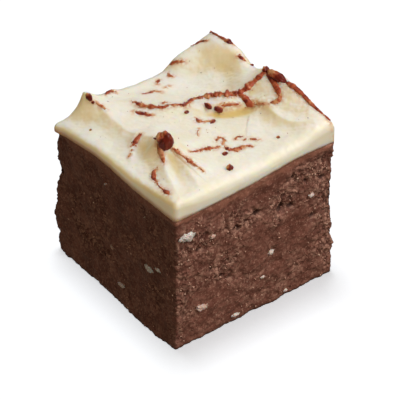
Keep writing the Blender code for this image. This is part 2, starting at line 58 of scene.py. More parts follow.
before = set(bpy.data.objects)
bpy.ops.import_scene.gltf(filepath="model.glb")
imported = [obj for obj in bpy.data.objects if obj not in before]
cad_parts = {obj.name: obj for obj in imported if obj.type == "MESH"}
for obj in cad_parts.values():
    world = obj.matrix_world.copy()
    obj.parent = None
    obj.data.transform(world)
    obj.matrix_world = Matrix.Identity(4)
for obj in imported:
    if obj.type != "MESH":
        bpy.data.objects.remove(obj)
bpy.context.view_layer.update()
block_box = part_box("praline_block")

MM = 0.001
BODY = "root"

# The block, the joint and the layer's rim, as in the part's source
SIDE = 25.0
HALF = SIDE / 2
BLOCK_FRONT_HEIGHT = 20.8
BLOCK_RISE_X = 0.016
BLOCK_RISE_Y = -0.053
BLOCK_CORNER = 0.3
LAYER_CORNER = 0.45
RIM_RADIUS = 1.4
RIM_TRIM = 0.65
RIM_TRIM_REACH = 3.0
RIM_SHARE = 0.75
RIM_CORNER_POWER = 3
LAYER_PROUD = 0.1
LOBE = 0.3
LOBE_REACH = 1.3
WALL_ROWS_SHARE = 0.5

# Fineness of the dressed meshes: cells along a side and rows up it
BLOCK_CELLS = 160
BLOCK_ROWS = 140
LAYER_CELLS = 240
LAYER_ROWS = 18

# How the two meet: the layer's lip hangs a little below the joint, the block's top tucks in above it
LIP = -0.06
TUCK_UP = 0.25
TUCK_IN = 0.35
TUCK_REACH = 0.3
JOINT_WOBBLE = 0.07
JOINT_WOBBLE_LENGTH = 1.6

# Swells in the joint between block and layer: x, y, reach along x, reach along y, height
JOINT_SWELLS = (
    (-12.5, 3.5, 3.0, 6.0, 0.85),
    (6.5, -12.5, 5.0, 3.0, 0.55),
)

# Thickness of the layer without its ridges: x, y, thickness, reach
LEVELS = (
    (-12.5, 12.5, 1.0, 3.0),
    (-12.5, 4.0, 1.1, 4.0),
    (-12.5, -3.0, 1.4, 4.0),
    (-12.5, -8.0, 2.1, 3.5),
    (-12.5, -12.5, 2.6, 3.0),
    (-4.0, -12.5, 2.2, 4.0),
    (4.0, -12.5, 1.9, 4.0),
    (12.5, -12.5, 3.1, 3.5),
    (12.5, -4.0, 4.0, 3.0),
    (12.5, 2.5, 3.0, 2.5),
    (12.5, 8.0, 4.95, 3.0),
    (12.5, 12.5, 4.35, 2.5),
    (8.0, 12.5, 3.5, 2.5),
    (2.0, 12.5, 1.6, 3.0),
    (-4.0, 12.5, 1.9, 3.0),
    (-8.0, 12.5, 2.2, 2.0),
    (-5.0, 4.0, 2.1, 4.0),
    (0.0, 0.0, 2.2, 4.0),
    (5.0, 7.0, 1.6, 3.0),
    (8.5, 6.0, 2.0, 2.0),
    (6.0, -6.0, 2.1, 4.0),
)

# Ridges: points x, y, height, then the width of the flank to the left and to the right of the path
# (a groove has negative heights)
RIDGES = {
    "long": (
        ((-5.5, 9.5, 0.3), (-3.6, 7.4, 0.6), (-1.8, 4.6, 0.8), (0.9, 3.1, 0.7), (4.0, 2.7, 0.8),
         (6.4, 0.7, 1.0), (8.9, 0.1, 1.0), (11.4, 0.2, 0.8)),
        1.6, 0.9,
    ),
    "short": (
        ((1.6, 2.0, 0.2), (3.2, 0.9, 0.7), (4.8, -0.1, 0.7), (7.0, -1.6, 0.3)),
        0.8, 0.45,
    ),
    "short hollow": (
        ((2.3, 0.8, -0.3), (3.6, -0.4, -0.65), (5.0, -1.3, -0.7), (6.7, -2.2, -0.5),
         (7.5, -3.2, -0.1)),
        0.4, 2.0,
    ),
    "right rim": (
        ((12.2, 1.0, 0.8), (12.1, -1.0, 1.4), (12.0, -4.0, 1.2), (12.0, -7.5, 1.0),
         (12.2, -11.0, 0.55)),
        1.0, 1.8,
    ),
    "right terrace": (
        ((7.2, -1.2, 0.3), (8.2, -3.7, 0.75), (8.1, -6.0, 0.75), (8.6, -8.6, 0.6),
         (10.2, -10.4, 0.35), (11.9, -11.3, 0.1)),
        2.4, 0.65,
    ),
    "left crest": (
        ((-8.0, 11.4, 1.1), (-7.7, 9.2, 1.0), (-7.7, 6.5, 0.85), (-7.8, 4.0, 0.75),
         (-7.6, 2.2, 0.85), (-7.0, 0.4, 1.1), (-6.9, -1.6, 1.3)),
        2.8, 1.3,
    ),
    "left spur": (
        ((-7.4, 2.3, 0.3), (-8.6, 1.5, 0.5), (-9.8, 0.3, 0.35), (-11.0, -1.2, 0.1)),
        0.8, 0.8,
    ),
    "front hollow": (
        ((-8.4, 0.4, -0.1), (-8.9, -1.4, -0.2), (-9.6, -3.0, -0.15), (-10.4, -4.4, -0.05)),
        1.6, 1.6,
    ),
    "fan left": (
        ((-7.8, -3.6, 0.3), (-9.0, -5.8, 0.7), (-10.1, -8.4, 0.65), (-11.2, -11.4, 0.3)),
        0.8, 1.2,
    ),
    "fan middle": (
        ((-6.9, -4.4, 0.3), (-6.9, -7.0, 0.55), (-7.5, -9.8, 0.45), (-8.2, -12.0, 0.15)),
        1.4, 0.8,
    ),
    "front": (
        ((-6.6, -3.0, 0.5), (-6.0, -5.0, 0.75), (-5.6, -7.0, 0.6), (-5.2, -9.4, 0.25)),
        0.6, 1.2,
    ),
}
CREST_ROUNDNESS = 0.25
RIDGE_PATH_STEPS = 8

# Peaks: x, y, height, width, lean along x, lean along y
PEAKS = {
    "left": (-8.0, 12.0, 1.5, 0.9, -0.4, 0.0),
    "left bump": (-4.1, 12.0, 0.65, 1.0, 0.0, 0.0),
    "front": (-6.9, -2.9, 2.15, 1.25, -0.4, 0.35),
    "front flank": (-8.4, -2.3, 0.8, 1.3, 0.0, 0.0),
    "right tip": (12.0, 1.2, 0.2, 0.7, -0.3, 0.2),
}
TIP_ROUNDNESS = 0.39

# Fractal noise: how fast its layers grow weaker, how many times finer each is, and how many there are
FRACTAL_FALL = 0.6
FRACTAL_STEP = 2.1
FRACTAL_LAYERS = 3

# Faint marks of the spatula in the layer: height, length and width of one drag line, and its heading
DRAG_HEIGHT = 0.03
DRAG_LENGTH = 7.0
DRAG_WIDTH = 0.9
DRAG_HEADING = math.radians(-50)

# Dents in the block's faces: face, place along it, height, reach along, reach up, depth
# (a swelling has a negative depth)
DENTS = (
    ("right", 4.0, 14.7, 0.62, 0.55, 1.2),
    ("right", 5.6, 14.2, 0.5, 0.45, 1.0),
    ("right", 0.1, 15.7, 0.8, 0.5, 0.8),
    ("right", 5.9, 18.7, 0.45, 0.4, 0.5),
    ("right", 9.2, 10.8, 0.6, 0.5, 0.7),
    ("right", 10.6, 16.3, 0.6, 0.4, 0.6),
    ("right", 8.1, 16.9, 0.4, 0.35, 0.5),
    ("right", -8.8, 14.5, 0.7, 0.4, 0.6),
    ("right", -3.2, 14.9, 0.5, 0.4, 0.55),
    ("right", 10.2, 18.9, 0.5, 0.4, 0.35),
    ("right", -7.0, 10.3, 0.6, 0.5, 0.4),
    ("right", -5.2, 8.5, 0.6, 0.5, 0.4),
    ("right", 3.4, 12.9, 1.4, 0.9, -0.35),
    ("right", 12.5, 13.5, 2.0, 5.0, 0.45),
    ("back right", -12.5, 13.5, 2.5, 5.0, 0.45),
    ("left", 7.6, 6.9, 0.6, 0.5, 0.3),
    ("left", -7.7, 7.3, 1.0, 1.6, -0.15),
    ("left", -6.0, 0.0, 6.0, 3.5, -0.5),
    ("left", 12.5, 6.5, 2.0, 2.6, -0.35),
    ("back left", -12.5, 6.5, 2.0, 2.6, -0.35),
    ("left", 12.5, 13.2, 1.2, 0.8, 0.5),
    ("back left", -12.5, 13.2, 1.2, 0.8, 0.5),
    ("left", 12.5, 19.2, 1.5, 1.2, 0.35),
    ("back left", -12.5, 19.2, 1.5, 1.2, 0.35),
)
SWAY = 0.15
SWAY_LENGTH = 7.0
CRUMB = 0.2
CRUMB_LENGTH = 1.7

# Where the cut tore the fudge open instead of leaving it smooth: face, place along it, height,
# reach along, reach up, strength
TORN = (
    ("right", -8.5, 16.3, 4.0, 2.2, 0.8),
    ("right", -2.0, 15.6, 3.0, 1.8, 0.9),
    ("right", 4.6, 15.6, 2.4, 1.6, 1.0),
    ("right", 6.5, 18.8, 2.8, 1.6, 0.9),
    ("right", 10.8, 18.2, 2.2, 2.6, 0.9),
    ("right", 11.0, 12.0, 2.0, 4.5, 0.9),
    ("right", 11.6, 4.5, 1.3, 4.0, 0.8),
    ("right", -6.0, 9.6, 2.8, 2.2, 0.8),
    ("right", -11.6, 9.0, 1.1, 7.0, 0.8),
    ("right", 3.4, 12.9, 1.3, 1.0, 0.9),
    ("left", -7.7, 7.3, 1.0, 1.6, 0.8),
    ("left", 3.8, 6.0, 4.0, 0.8, 0.9),
    ("left", 7.6, 6.9, 1.2, 1.0, 0.7),
    ("left", 5.0, 13.0, 4.0, 5.0, 0.25),
)

# How torn each face is elsewhere, how patchily, how little at its foot, and the heights between which
# the foot ends
TORN_LENGTH = 4.5
TORN_SHARE = {"right": 0.12, "left": 0.2, "back right": 0.4, "back left": 0.4}
TORN_PATCHY = 0.5
TORN_AT_BASE = 0.25
TORN_FOOT = (0.2, 1.4)

# Relief of the torn fudge, in clumps and grit, and of the smooth cut, in dragged streaks: heights,
# lengths and widths of the features, how ragged the clumps are, and the way that the knife dragged
CLUMP = 0.18
CLUMP_LENGTH = 0.9
CLUMP_RAGGED = 0.5
CLUMP_DETAIL = 1.7
CLUMP_STEEP = 2.2
CLUMP_DEEPEST = 0.9
GRIT = 0.2
GRIT_LENGTH = 0.6
DRAGGED = 0.05
DRAGGED_LENGTH = 3.0
DRAGGED_WIDTH = 0.45
DRAG_AXIS = Vector((0.54, 0.54, 0.65))
STREAK_LENGTH = 2.4
STREAK_WIDTH = 0.32

# Smooth, richer band of fudge under the white layer: its height at the corners and in mid-face,
# between which shares of that height it fades, and how far it closes the torn fudge
BAND_EDGE = 0.5
BAND_MIDDLE = 1.5
BAND_FADE = (0.6, 1.4)
BAND_CLOSES = 1.2

# Pale flecks set in the cut faces: face, place along it, height, length, width, slant in degrees, and
# how white each is
FLECKS = (
    ("right", -10.9, 17.7, 2.3, 1.2, -8, 0.95),
    ("right", -8.6, 5.0, 1.7, 0.8, -15, 0.35),
    ("right", 2.5, 8.2, 0.9, 0.6, 10, 0.7),
    ("right", 1.1, 5.0, 0.7, 0.35, 0, 0.7),
    ("right", -3.2, 0.9, 1.2, 0.45, 0, 0.85),
    ("right", 4.9, 0.7, 0.7, 0.35, 0, 0.7),
    ("right", 8.8, 14.5, 0.8, 0.4, 10, 0.7),
    ("right", -7.0, 15.9, 0.8, 0.45, 20, 0.3),
    ("left", -7.1, 9.9, 1.3, 0.8, -5, 1.0),
    ("left", -8.9, 10.8, 1.0, 0.4, -8, 1.0),
    ("left", -1.1, 3.0, 1.1, 0.65, 5, 0.9),
    ("left", 1.9, 17.6, 0.35, 0.2, 0, 0.8),
    ("left", -5.9, 17.2, 0.25, 0.15, 0, 0.6),
    ("left", 0.6, 8.2, 0.6, 0.2, -50, 0.35),
)
FLECK_PROUD = 0.27
FLECK_LUMPS = 0.5
FLECK_LUMP_LENGTH = 0.45

# Loose crumbs on the cut faces: how many, how many places are tried for each, their smallest and
# largest radius, how far they reach from mid-face, and the bare strips at the base and the joint
CRUMBS = 1800
CRUMB_TRIES = 6
CRUMB_RADII = (0.05, 0.14)
CRUMB_SPREAD = 12.1
CRUMB_LOWEST = 0.2
CRUMB_BELOW_JOINT = 1.5

# Dark chocolate along the crests: how dark and thick it looks, how crumbly it is, then points x, y,
# half width
STROKES = {
    "long left": (
        0.45, 0.7,
        ((-3.7, 7.9, 0.26), (-3.5, 6.7, 0.3), (-2.8, 5.6, 0.24), (-1.8, 4.4, 0.22), (-0.9, 4.1, 0.26),
         (0.2, 3.4, 0.22), (0.9, 2.8, 0.34)),
    ),
    "long": (
        0.45, 1.0,
        ((0.7, 3.0, 0.3), (1.5, 3.1, 0.26), (2.1, 3.3, 0.42), (2.9, 3.2, 0.42), (3.9, 2.7, 0.46),
         (4.8, 2.2, 0.52), (5.7, 1.2, 0.52), (6.6, 0.3, 0.42)),
    ),
    "long right": (
        0.55, 0.7,
        ((6.2, 0.8, 0.3), (7.1, 0.0, 0.38), (8.7, -0.2, 0.38), (9.7, -0.3, 0.36), (10.5, -0.2, 0.34),
         (11.2, 0.0, 0.26)),
    ),
    "branch": (
        0.55, 0.6, ((6.8, 0.2, 0.3), (7.2, -0.7, 0.36), (7.1, -1.8, 0.46), (7.6, -2.7, 0.4)),
    ),
    "branch tail": (0.1, 0.2, ((7.5, -2.6, 0.25), (7.8, -3.2, 0.2), (8.1, -3.9, 0.16))),
    "hook": (
        0.65, 0.15,
        ((11.2, -0.2, 0.28), (10.8, -1.6, 0.32), (10.6, -2.6, 0.37), (10.3, -3.7, 0.4),
         (10.0, -4.4, 0.38)),
    ),
    "hook end": (
        0.3, 0.2, ((10.1, -4.2, 0.38), (9.7, -4.8, 0.38), (9.1, -4.7, 0.38), (8.6, -4.3, 0.32)),
    ),
    "short tail": (0.15, 0.4, ((4.2, 0.0, 0.25), (5.2, -0.6, 0.18), (6.2, -1.2, 0.1))),
    "right rim": (
        0.65, 0.35,
        ((11.6, -3.7, 0.3), (11.75, -5.0, 0.4), (11.9, -6.4, 0.38), (12.05, -8.0, 0.38),
         (12.1, -9.6, 0.34), (12.1, -10.8, 0.28)),
    ),
    "right corner": (0.7, 0.4, ((12.2, -10.8, 0.25), (12.1, -11.4, 0.36), (12.1, -12.0, 0.25))),
    "back rim": (
        0.6, 0.5,
        ((11.9, 11.9, 0.2), (11.8, 10.8, 0.22), (11.7, 9.6, 0.24), (11.7, 8.6, 0.36), (12.0, 7.5, 0.24)),
    ),
    "right slope": (0.5, 0.5, ((11.2, 5.8, 0.14), (11.5, 5.1, 0.22), (11.7, 4.5, 0.18))),
    "front a": (
        0.3, 1.0,
        ((-4.8, -5.2, 0.1), (-3.4, -5.4, 0.18), (-2.4, -5.6, 0.27), (-1.5, -6.0, 0.27),
         (-0.8, -6.0, 0.15)),
    ),
    "front b": (
        0.4, 0.9,
        ((-0.3, -6.4, 0.2), (-0.2, -7.2, 0.26), (0.4, -7.8, 0.32), (1.1, -7.9, 0.32),
         (1.9, -8.0, 0.24), (2.5, -8.6, 0.12)),
    ),
    "front c": (0.25, 0.6, ((3.0, -7.2, 0.1), (3.4, -7.4, 0.18), (3.9, -8.2, 0.12))),
    "front d": (0.25, 0.6, ((2.4, -6.8, 0.12), (2.9, -6.9, 0.16))),
    "arc": (0.3, 0.6, ((1.7, -6.1, 0.12), (2.2, -5.8, 0.16), (2.7, -6.2, 0.12))),
    "curl": (
        0.15, 0.6,
        ((-0.4, -4.9, 0.14), (0.2, -4.6, 0.18), (0.6, -5.0, 0.14), (0.3, -5.6, 0.18),
         (-0.3, -5.9, 0.12)),
    ),
    "squiggle": (-0.1, 0.5, ((-0.5, -1.5, 0.04), (-1.2, -2.1, 0.05), (-1.7, -2.8, 0.06))),
    "left a": (0.6, 0.3, ((-4.7, 6.4, 0.26), (-4.3, 5.7, 0.34), (-3.9, 5.0, 0.2))),
    "left a tail": (0.15, 0.5, ((-4.0, 5.2, 0.2), (-3.7, 4.7, 0.18), (-3.3, 4.2, 0.1))),
    "left b": (0.5, 0.4, ((-7.2, 1.5, 0.16), (-7.8, 1.3, 0.28), (-8.5, 1.1, 0.32), (-9.1, 0.8, 0.24))),
    "left b dust": (0.0, 0.8, ((-9.5, 0.4, 0.03), (-10.0, 0.0, 0.04), (-10.6, -0.4, 0.07))),
    "left tail": (0.0, 0.4, ((-7.8, 10.3, 0.16), (-7.5, 9.4, 0.2), (-7.4, 8.7, 0.12))),
    "left bump": (0.45, 0.5, ((-5.5, 11.3, 0.2), (-4.7, 11.7, 0.3), (-4.1, 11.2, 0.2))),
    "back left a": (0.35, 0.9, ((-1.3, 9.2, 0.08), (-0.4, 9.0, 0.12), (0.4, 9.0, 0.24), (1.0, 8.3, 0.2))),
    "back left b": (0.35, 0.7, ((5.1, 12.0, 0.26), (5.8, 11.3, 0.22), (6.5, 10.5, 0.12))),
    "back left c": (0.4, 0.7, ((9.0, 12.0, 0.3), (9.8, 11.6, 0.22), (10.2, 10.8, 0.12))),
    "back left d": (0.5, 0.6, ((1.8, 10.2, 0.28), (2.3, 10.6, 0.24), (2.6, 10.8, 0.12))),
    "back left e": (0.4, 0.6, ((4.1, 11.0, 0.2), (4.0, 10.5, 0.24), (4.3, 10.0, 0.12))),
    "back left f": (0.0, 0.6, ((2.1, 8.9, 0.14), (2.7, 8.7, 0.14))),
    "loop": (0.2, 0.6, ((-1.2, 4.9, 0.12), (-0.8, 5.4, 0.16), (-0.3, 5.2, 0.12))),
    "pair": (0.5, 0.6, ((0.5, 0.5, 0.28), (0.6, -0.2, 0.34), (0.9, -0.6, 0.18))),
    "pair link": (0.3, 0.4, ((0.9, -0.5, 0.14), (1.4, -0.8, 0.12), (1.9, -1.1, 0.2))),
    "left rim a": (
        0.55, 0.3,
        ((-9.7, -4.8, 0.2), (-10.1, -4.9, 0.28), (-10.7, -5.6, 0.28), (-11.1, -6.6, 0.22)),
    ),
    "left rim b": (
        0.45, 0.4,
        ((-11.0, -6.5, 0.15), (-11.4, -7.6, 0.1), (-11.5, -8.6, 0.12), (-11.6, -9.5, 0.28),
         (-11.7, -10.1, 0.15)),
    ),
    "front ridge": (
        0.4, 0.9,
        ((-6.7, -4.4, 0.08), (-6.5, -5.1, 0.2), (-6.4, -5.8, 0.06), (-6.2, -6.8, 0.26),
         (-6.1, -7.6, 0.2), (-5.9, -8.6, 0.06), (-5.7, -9.4, 0.06)),
    ),
    "front drip": (
        0.2, 0.2, ((-7.7, -2.9, 0.4), (-8.0, -3.6, 0.38), (-8.3, -4.4, 0.26), (-8.6, -5.0, 0.15)),
    ),
}

# Each stroke's strand: its step along, its sides, how flat it is, its lumps and grit when it is fully
# crumbly, how its darkness varies, how deep it sinks in, and how its ends taper
STROKE_STEP = 0.08
STROKE_SIDES = 14
STROKE_FLATNESS = 0.6
STROKE_LUMPS = 0.8
STROKE_LUMP_LENGTH = 0.65
STROKE_SHADE_LENGTH = 1.1
STROKE_SHADE = 0.7
STROKE_RIM = 0.4
STROKE_SPOTS = 0.5
STROKE_GRIT = 0.5
STROKE_GRIT_LENGTH = 0.35
STROKE_SUNK = 0.15
STROKE_FEWEST_STEPS = 4
STROKE_TAPER = 2
STROKE_END = 0.04

# Grains beside a fully crumbly stroke: how many, how far they spread in half widths, their radii, and
# how much lighter or darker than the stroke they are
GRAINS_PER_MM = 9
GRAIN_SPREAD = 0.6
GRAIN_RADII = (0.05, 0.13)
GRAIN_SHADES = (-0.35, 0.25)
GRAIN_PATH_STEPS = 40

# Dark caps on the peaks and loose drops: x, y, height above the layer, radii along x, y and z, and
# how far each is turned, in degrees
CAPS = {
    "front": (-6.8, -3.5, -0.5, 0.95, 0.9, 1.5, 0),
    "front shoulder": (-7.05, -3.15, 0.1, 0.75, 0.65, 0.7, 40),
    "front tail": (-7.6, -2.8, 0.45, 0.6, 0.16, 0.14, -45),
    "right": (11.4, -2.2, 0.0, 0.62, 1.6, 0.55, 4),
    "right tip": (11.3, 0.0, 0.05, 0.45, 0.45, 0.42, 0),
    "left": (-8.1, 11.2, -0.05, 0.35, 0.75, 0.4, -10),
    "left drop": (-8.1, 10.5, 0.0, 0.2, 0.3, 0.2, 0),
    "back": (11.9, 12.0, -0.05, 0.22, 0.3, 0.2, 0),
    "back rim": (11.75, 8.2, 0.0, 0.35, 0.55, 0.35, 0),
    "back dot": (12.0, 3.7, 0.0, 0.28, 0.25, 0.22, 0),
    "drop": (-2.6, -10.5, 0.1, 0.42, 0.42, 0.45, 30),
    "small drop": (-1.2, -7.7, 0.0, 0.42, 0.32, 0.25, 0),
    "dot": (0.3, 2.1, 0.0, 0.35, 0.26, 0.2, 0),
    "short a": (2.87, 0.95, 0.05, 0.7, 0.36, 0.3, -95),
    "short b": (3.75, 0.0, 0.05, 0.75, 0.45, 0.36, -82),
    "pair dot": (1.9, -1.2, 0.0, 0.42, 0.3, 0.25, 20),
    "right dot": (5.9, -9.4, 0.0, 0.24, 0.22, 0.15, 0),
    "left dot": (-10.5, 7.8, 0.0, 0.22, 0.12, 0.1, 30),
}

# How lumpy and gritty the caps are, how dark they look, and the side where they are paler: thinner
# chocolate there, and a painted highlight
CAP_LUMPS = 0.22
CAP_LUMP_FINENESS = 1.7
CAP_GRIT = 0.08
CAP_GRIT_LENGTH = 0.3
CAP_DARK = 1.42
CAP_PALE = 1.3
CAP_THIN_AND_HIGHLIGHT_SIDE = np.array([-0.3, 0.75, 0.55])
CAP_PALE_ENDS = (0.3, 0.9)
CAP_PALE_RAGGED = 0.4
CAP_MOTTLE = 0.3

# Loose grains: how far each is squashed or stretched, how much its corners stand in or out, and how
# far it is raised, as a share of its radius
SQUASHED = (0.65, 1.3)
RAGGED = (0.75, 1.3)
GRAIN_RAISED = 0.1

# Specks of dust on the white chocolate: how many, their radii, how far they keep from the edge, and
# how far each is raised, as a share of its radius
SPECKS = 50
SPECK_RADII = (0.03, 0.07)
SPECK_MARGIN = 0.8
SPECK_RAISED = 0.2

# Places and directions of the four cut faces: along the face, then outward
FACES = {
    "right": (1, 0, 0, -1),
    "left": (0, 1, -1, 0),
    "back right": (0, 1, 1, 0),
    "back left": (1, 0, 0, 1),
}

# The materials' patterns, their sizes in mm. A noise has the length of its features and how fine its
# detail is. The grain of white chocolate and the fibre of paper are finer than this in a real one, and
# are drawn as coarse as they need to show.
FUDGE_SPECKLE = 0.26
FUDGE_GRAINS = {"tone": (2.5, 3), "speckle": (FUDGE_SPECKLE, 2), "cluster": (1.1, 3)}
FUDGE_GRAIN = 0.42
FUDGE_GRAIN_RELIEF = 0.16
FUDGE_BUMP = 0.06
# Height of the painted shade along the block's foot.
FOOT_SHADE_HEIGHT = 0.45
FUDGE_ROUGHNESS = (0.48, 0.75)
WHITE_GRAINS = {"cloud": (4.0, 3), "wiping": (0.5, 3), "grain": (0.5, 2)}
WHITE_SCATTER = 1.6
WHITE_BUMP = 0.008
DARK_MOTTLE = 0.35
DARK_MOTTLING = 0.8
DARK_BUMP = 0.06
FLECK_FIBRE = 0.3
FLECK_SCATTER = 0.5
FLECK_BUMP = 0.05
PAPER_FIBRE = 0.4
PAPER_GLOW = 0.61

# Coats of colour over each material's base colour: the coat, its strength, and the values that it
# follows. A value with two ends shows the coat from none at the first to full at the second, one
# without them shows it as it is.
FUDGE_COATS = (
    ("fudge", 1, (("tone", 0.38, 0.62),)),
    ("fudge_dark", 0.5, (("speckle", 0.46, 0.32),)),
    ("fudge_deep", 0.6, (("streak", 0.1, -0.5),)),
    ("band", 0.7, (("band",),)),
    ("crumb", 0.42, (("speckle", 0.54, 0.7),)),
    ("crumb", 0.75, (("kind", 0.42, 0.66), ("torn",), ("cluster", 0.35, 0.6))),
    # Painted highlight: the crumb colour on the high points of the torn fudge.
    ("crumb", 0.4, (("fine", -0.1, 0.35), ("torn",))),
    # Painted shade: the pit colour between grains, in low grit, in dents and pits, and along the block's
    # foot.
    ("pit_shade", 0.55, (("between", 0.4, 0.75), ("torn",))),
    ("pit_shade", 0.8, (("fine", -0.2, -0.7), ("torn",))),
    ("pit_shade", 0.8, (("relief", -0.5, -1.0),)),
    ("pit_shade", 0.75, (("height", FOOT_SHADE_HEIGHT * MM, 0),)),
)
WHITE_COATS = (
    ("white_warm", 1, (("cloud", 0.3, 0.7),)),
    # Painted shade: yellower on slopes, more on slopes facing -X, away from the key light, and most in
    # hollows.
    ("white_painted_shade", 0.15, (("upright", 0.985, 0.7),)),
    ("white_painted_shade", 0.5, (("rightward", -0.25, -0.8), ("upright", 0.1, 0.4))),
    ("white_painted_shade", 1, (("hollow", 0.1, 1.0),)),
    ("lip", 0.9, (("lip",),)),
    ("smear", 1, (("smear",), ("wiping", 0.36, 0.6))),
)
DARK_COATS = (("dark", 1, (("shade", 0.5, 1.15),)), ("dark_thick", 1, (("shade", 1.25, 1.8),)))
FLECK_COATS = (("fleck", 1, (("fibre", 0.35, 0.65),)), ("crumb", 1, (("fudgy",),)))
CRUMB_COATS = (("crumb", 1, (("pale", 0.2, 1.0),)), ("crumb_pale", 1, (("pale", 0.75, 1.0),)))
DUST_COATS = (("dark", 1, (("thick",),)),)
PAPER_COATS = (("paper_fibre", 0.02, (("fibre",),)),)

# A Mix node's sockets for colours, which share their names with those for numbers
MIX_AMOUNT = 0
MIX_UNDER = 6
MIX_OVER = 7
MIX_COLOUR = 2

# The marks on the meshes that the materials read: the relief that counts as full, which places painted
# shade and painted highlight on the fudge, and how far the tan lip, a hollow's surroundings, which place
# the white's painted shade, and a stroke's smear reach
RELIEF_SCALE = 0.5
LIP_REACH = 0.35
LIP_SPREAD = 0.6
LIP_SPREAD_REACH = 2.0
HOLLOW_REACH = 1.3
HOLLOW_DEPTH = 0.45
HOLLOW_SPOKES = 8
SMEAR_REACH = 0.22
SMEAR_PATH_STEPS = 4

# The stage. Lights: azimuth and elevation in degrees, distance, side, power in watts, colour, what each
# lights
LIGHTS = {
    "key": (28, 50, 300, 240, 0.78, "FFFEFC", "food"),
    "back": (142, 42, 300, 300, 0.2, "FFFFFF", "food"),
    "glow": (-75, 10, 300, 300, 0.27, "FFEBC8", "white"),
    "floor": (158, 82, 600, 150, 1.5, "FFFFFF", "floor"),
}
SKY_STRENGTH = 0.18
SKY_COLOUR = "FFEBCE"
FLOOR_SIDE = 4000.0
VIEW_AZIMUTH = -37.57
VIEW_ELEVATION = 39.52
VIEW_DISTANCE = 500.0
VIEW_WIDTH = 50.957
VIEW_AIM = (0.66, -0.086)
AIM_HEIGHT = 10.0
SENSOR_WIDTH = 36.0
CLIP_END_METRES = 100


def linear(hex_colour):
    """Linear red, green and blue of an sRGB colour given as six hex digits."""
    values = [int(hex_colour[i : i + 2], 16) / 255 for i in (0, 2, 4)]
    return tuple(v / 12.92 if v <= 0.04045 else ((v + 0.055) / 1.055) ** 2.4 for v in values)


# Shape functions, as in the part's source


def bump(u, v, reach_u, reach_v):
    """A smooth round rise of height 1 at the middle."""
    return np.exp(-((u / reach_u) ** 2) - (v / reach_v) ** 2)


def block_top(x, y):
    """Height of the joint between the block and the layer."""
    z = BLOCK_FRONT_HEIGHT + BLOCK_RISE_X * (x + HALF) + BLOCK_RISE_Y * (y + HALF)
    for at_x, at_y, reach_x, reach_y, height in JOINT_SWELLS:
        z = z + height * bump(x - at_x, y - at_y, reach_x, reach_y)
    return z


def level(x, y):
    """Thickness of the layer without its ridges and peaks, blended between the named places."""
    total = np.zeros(np.shape(x))
    weights = np.full(np.shape(x), 1e-9)
    for at_x, at_y, thickness, reach in LEVELS:
        weight = bump(x - at_x, y - at_y, reach, reach)
        total = total + weight * thickness
        weights = weights + weight
    return total / weights


def smooth_path(points, steps):
    """Points of a Catmull-Rom curve through the given points."""
    given = np.array(points, float)
    first = 2 * given[0] - given[1]
    last = 2 * given[-1] - given[-2]
    knots = np.vstack([first, given, last])
    path = []
    for a, b, c, d in zip(knots, knots[1:], knots[2:], knots[3:]):
        for t in np.arange(steps) / steps:
            curve = 2 * b + (c - a) * t
            curve = curve + (2 * a - 5 * b + 4 * c - d) * t**2
            curve = curve + (3 * b - a - 3 * c + d) * t**3
            path.append(curve / 2)
    path.append(given[-1])
    return np.array(path)


def nearest_on(x, y, path):
    """Distance to a path, the share of its last column there, and whether the point is on its left."""
    nearest = np.full(np.shape(x), 1e9)
    value = np.zeros(np.shape(x))
    on_left = np.zeros(np.shape(x), bool)
    for start, end in zip(path, path[1:]):
        run_x, run_y = end[:2] - start[:2]
        away_x, away_y = x - start[0], y - start[1]
        share = np.clip((away_x * run_x + away_y * run_y) / (run_x**2 + run_y**2), 0, 1)
        distance = np.hypot(away_x - share * run_x, away_y - share * run_y)
        closer = distance < nearest
        nearest = np.where(closer, distance, nearest)
        value = np.where(closer, start[-1] + share * (end[-1] - start[-1]), value)
        on_left = np.where(closer, run_x * away_y > run_y * away_x, on_left)
    return nearest, value, on_left


def ridge(x, y, points, left, right):
    """Height that a ridge adds: a rounded crest with hollow flanks along its path."""
    nearest, height, on_left = nearest_on(x, y, smooth_path(points, RIDGE_PATH_STEPS))
    width = np.where(on_left, left, right)
    reach = np.sqrt(nearest**2 + CREST_ROUNDNESS**2) - CREST_ROUNDNESS
    return height * np.exp(-reach / width)


def peak(x, y, at_x, at_y, width):
    """A spike of height 1 with a hollow flank and a rounded tip."""
    distance = np.hypot(x - at_x, y - at_y)
    reach = np.sqrt(distance**2 + TIP_ROUNDNESS**2) - TIP_ROUNDNESS
    return np.exp(-reach / width)


def layer_thickness(x, y):
    """Thickness of the white layer with its ridges and peaks."""
    thickness = level(x, y)
    for points, left, right in RIDGES.values():
        thickness = thickness + ridge(x, y, points, left, right)
    for at_x, at_y, height, width, _, _ in PEAKS.values():
        thickness = thickness + height * peak(x, y, at_x, at_y, width)
    return thickness


def rim_radius(x, y):
    """Roundness of the layer's upper edge, which is crisper on the left side."""
    radius = RIM_RADIUS - RIM_TRIM * np.exp(-(((x + HALF) / RIM_TRIM_REACH) ** 2))
    return np.minimum(radius, RIM_SHARE * layer_thickness(x, y))


def lean(x, y):
    """Sideways shift of the peaks, which bend over towards their tips."""
    shift_x = np.zeros(np.shape(x))
    shift_y = np.zeros(np.shape(x))
    for at_x, at_y, _, width, lean_x, lean_y in PEAKS.values():
        bend = peak(x, y, at_x, at_y, width) ** 2
        shift_x = shift_x + lean_x * bend
        shift_y = shift_y + lean_y * bend
    return shift_x, shift_y


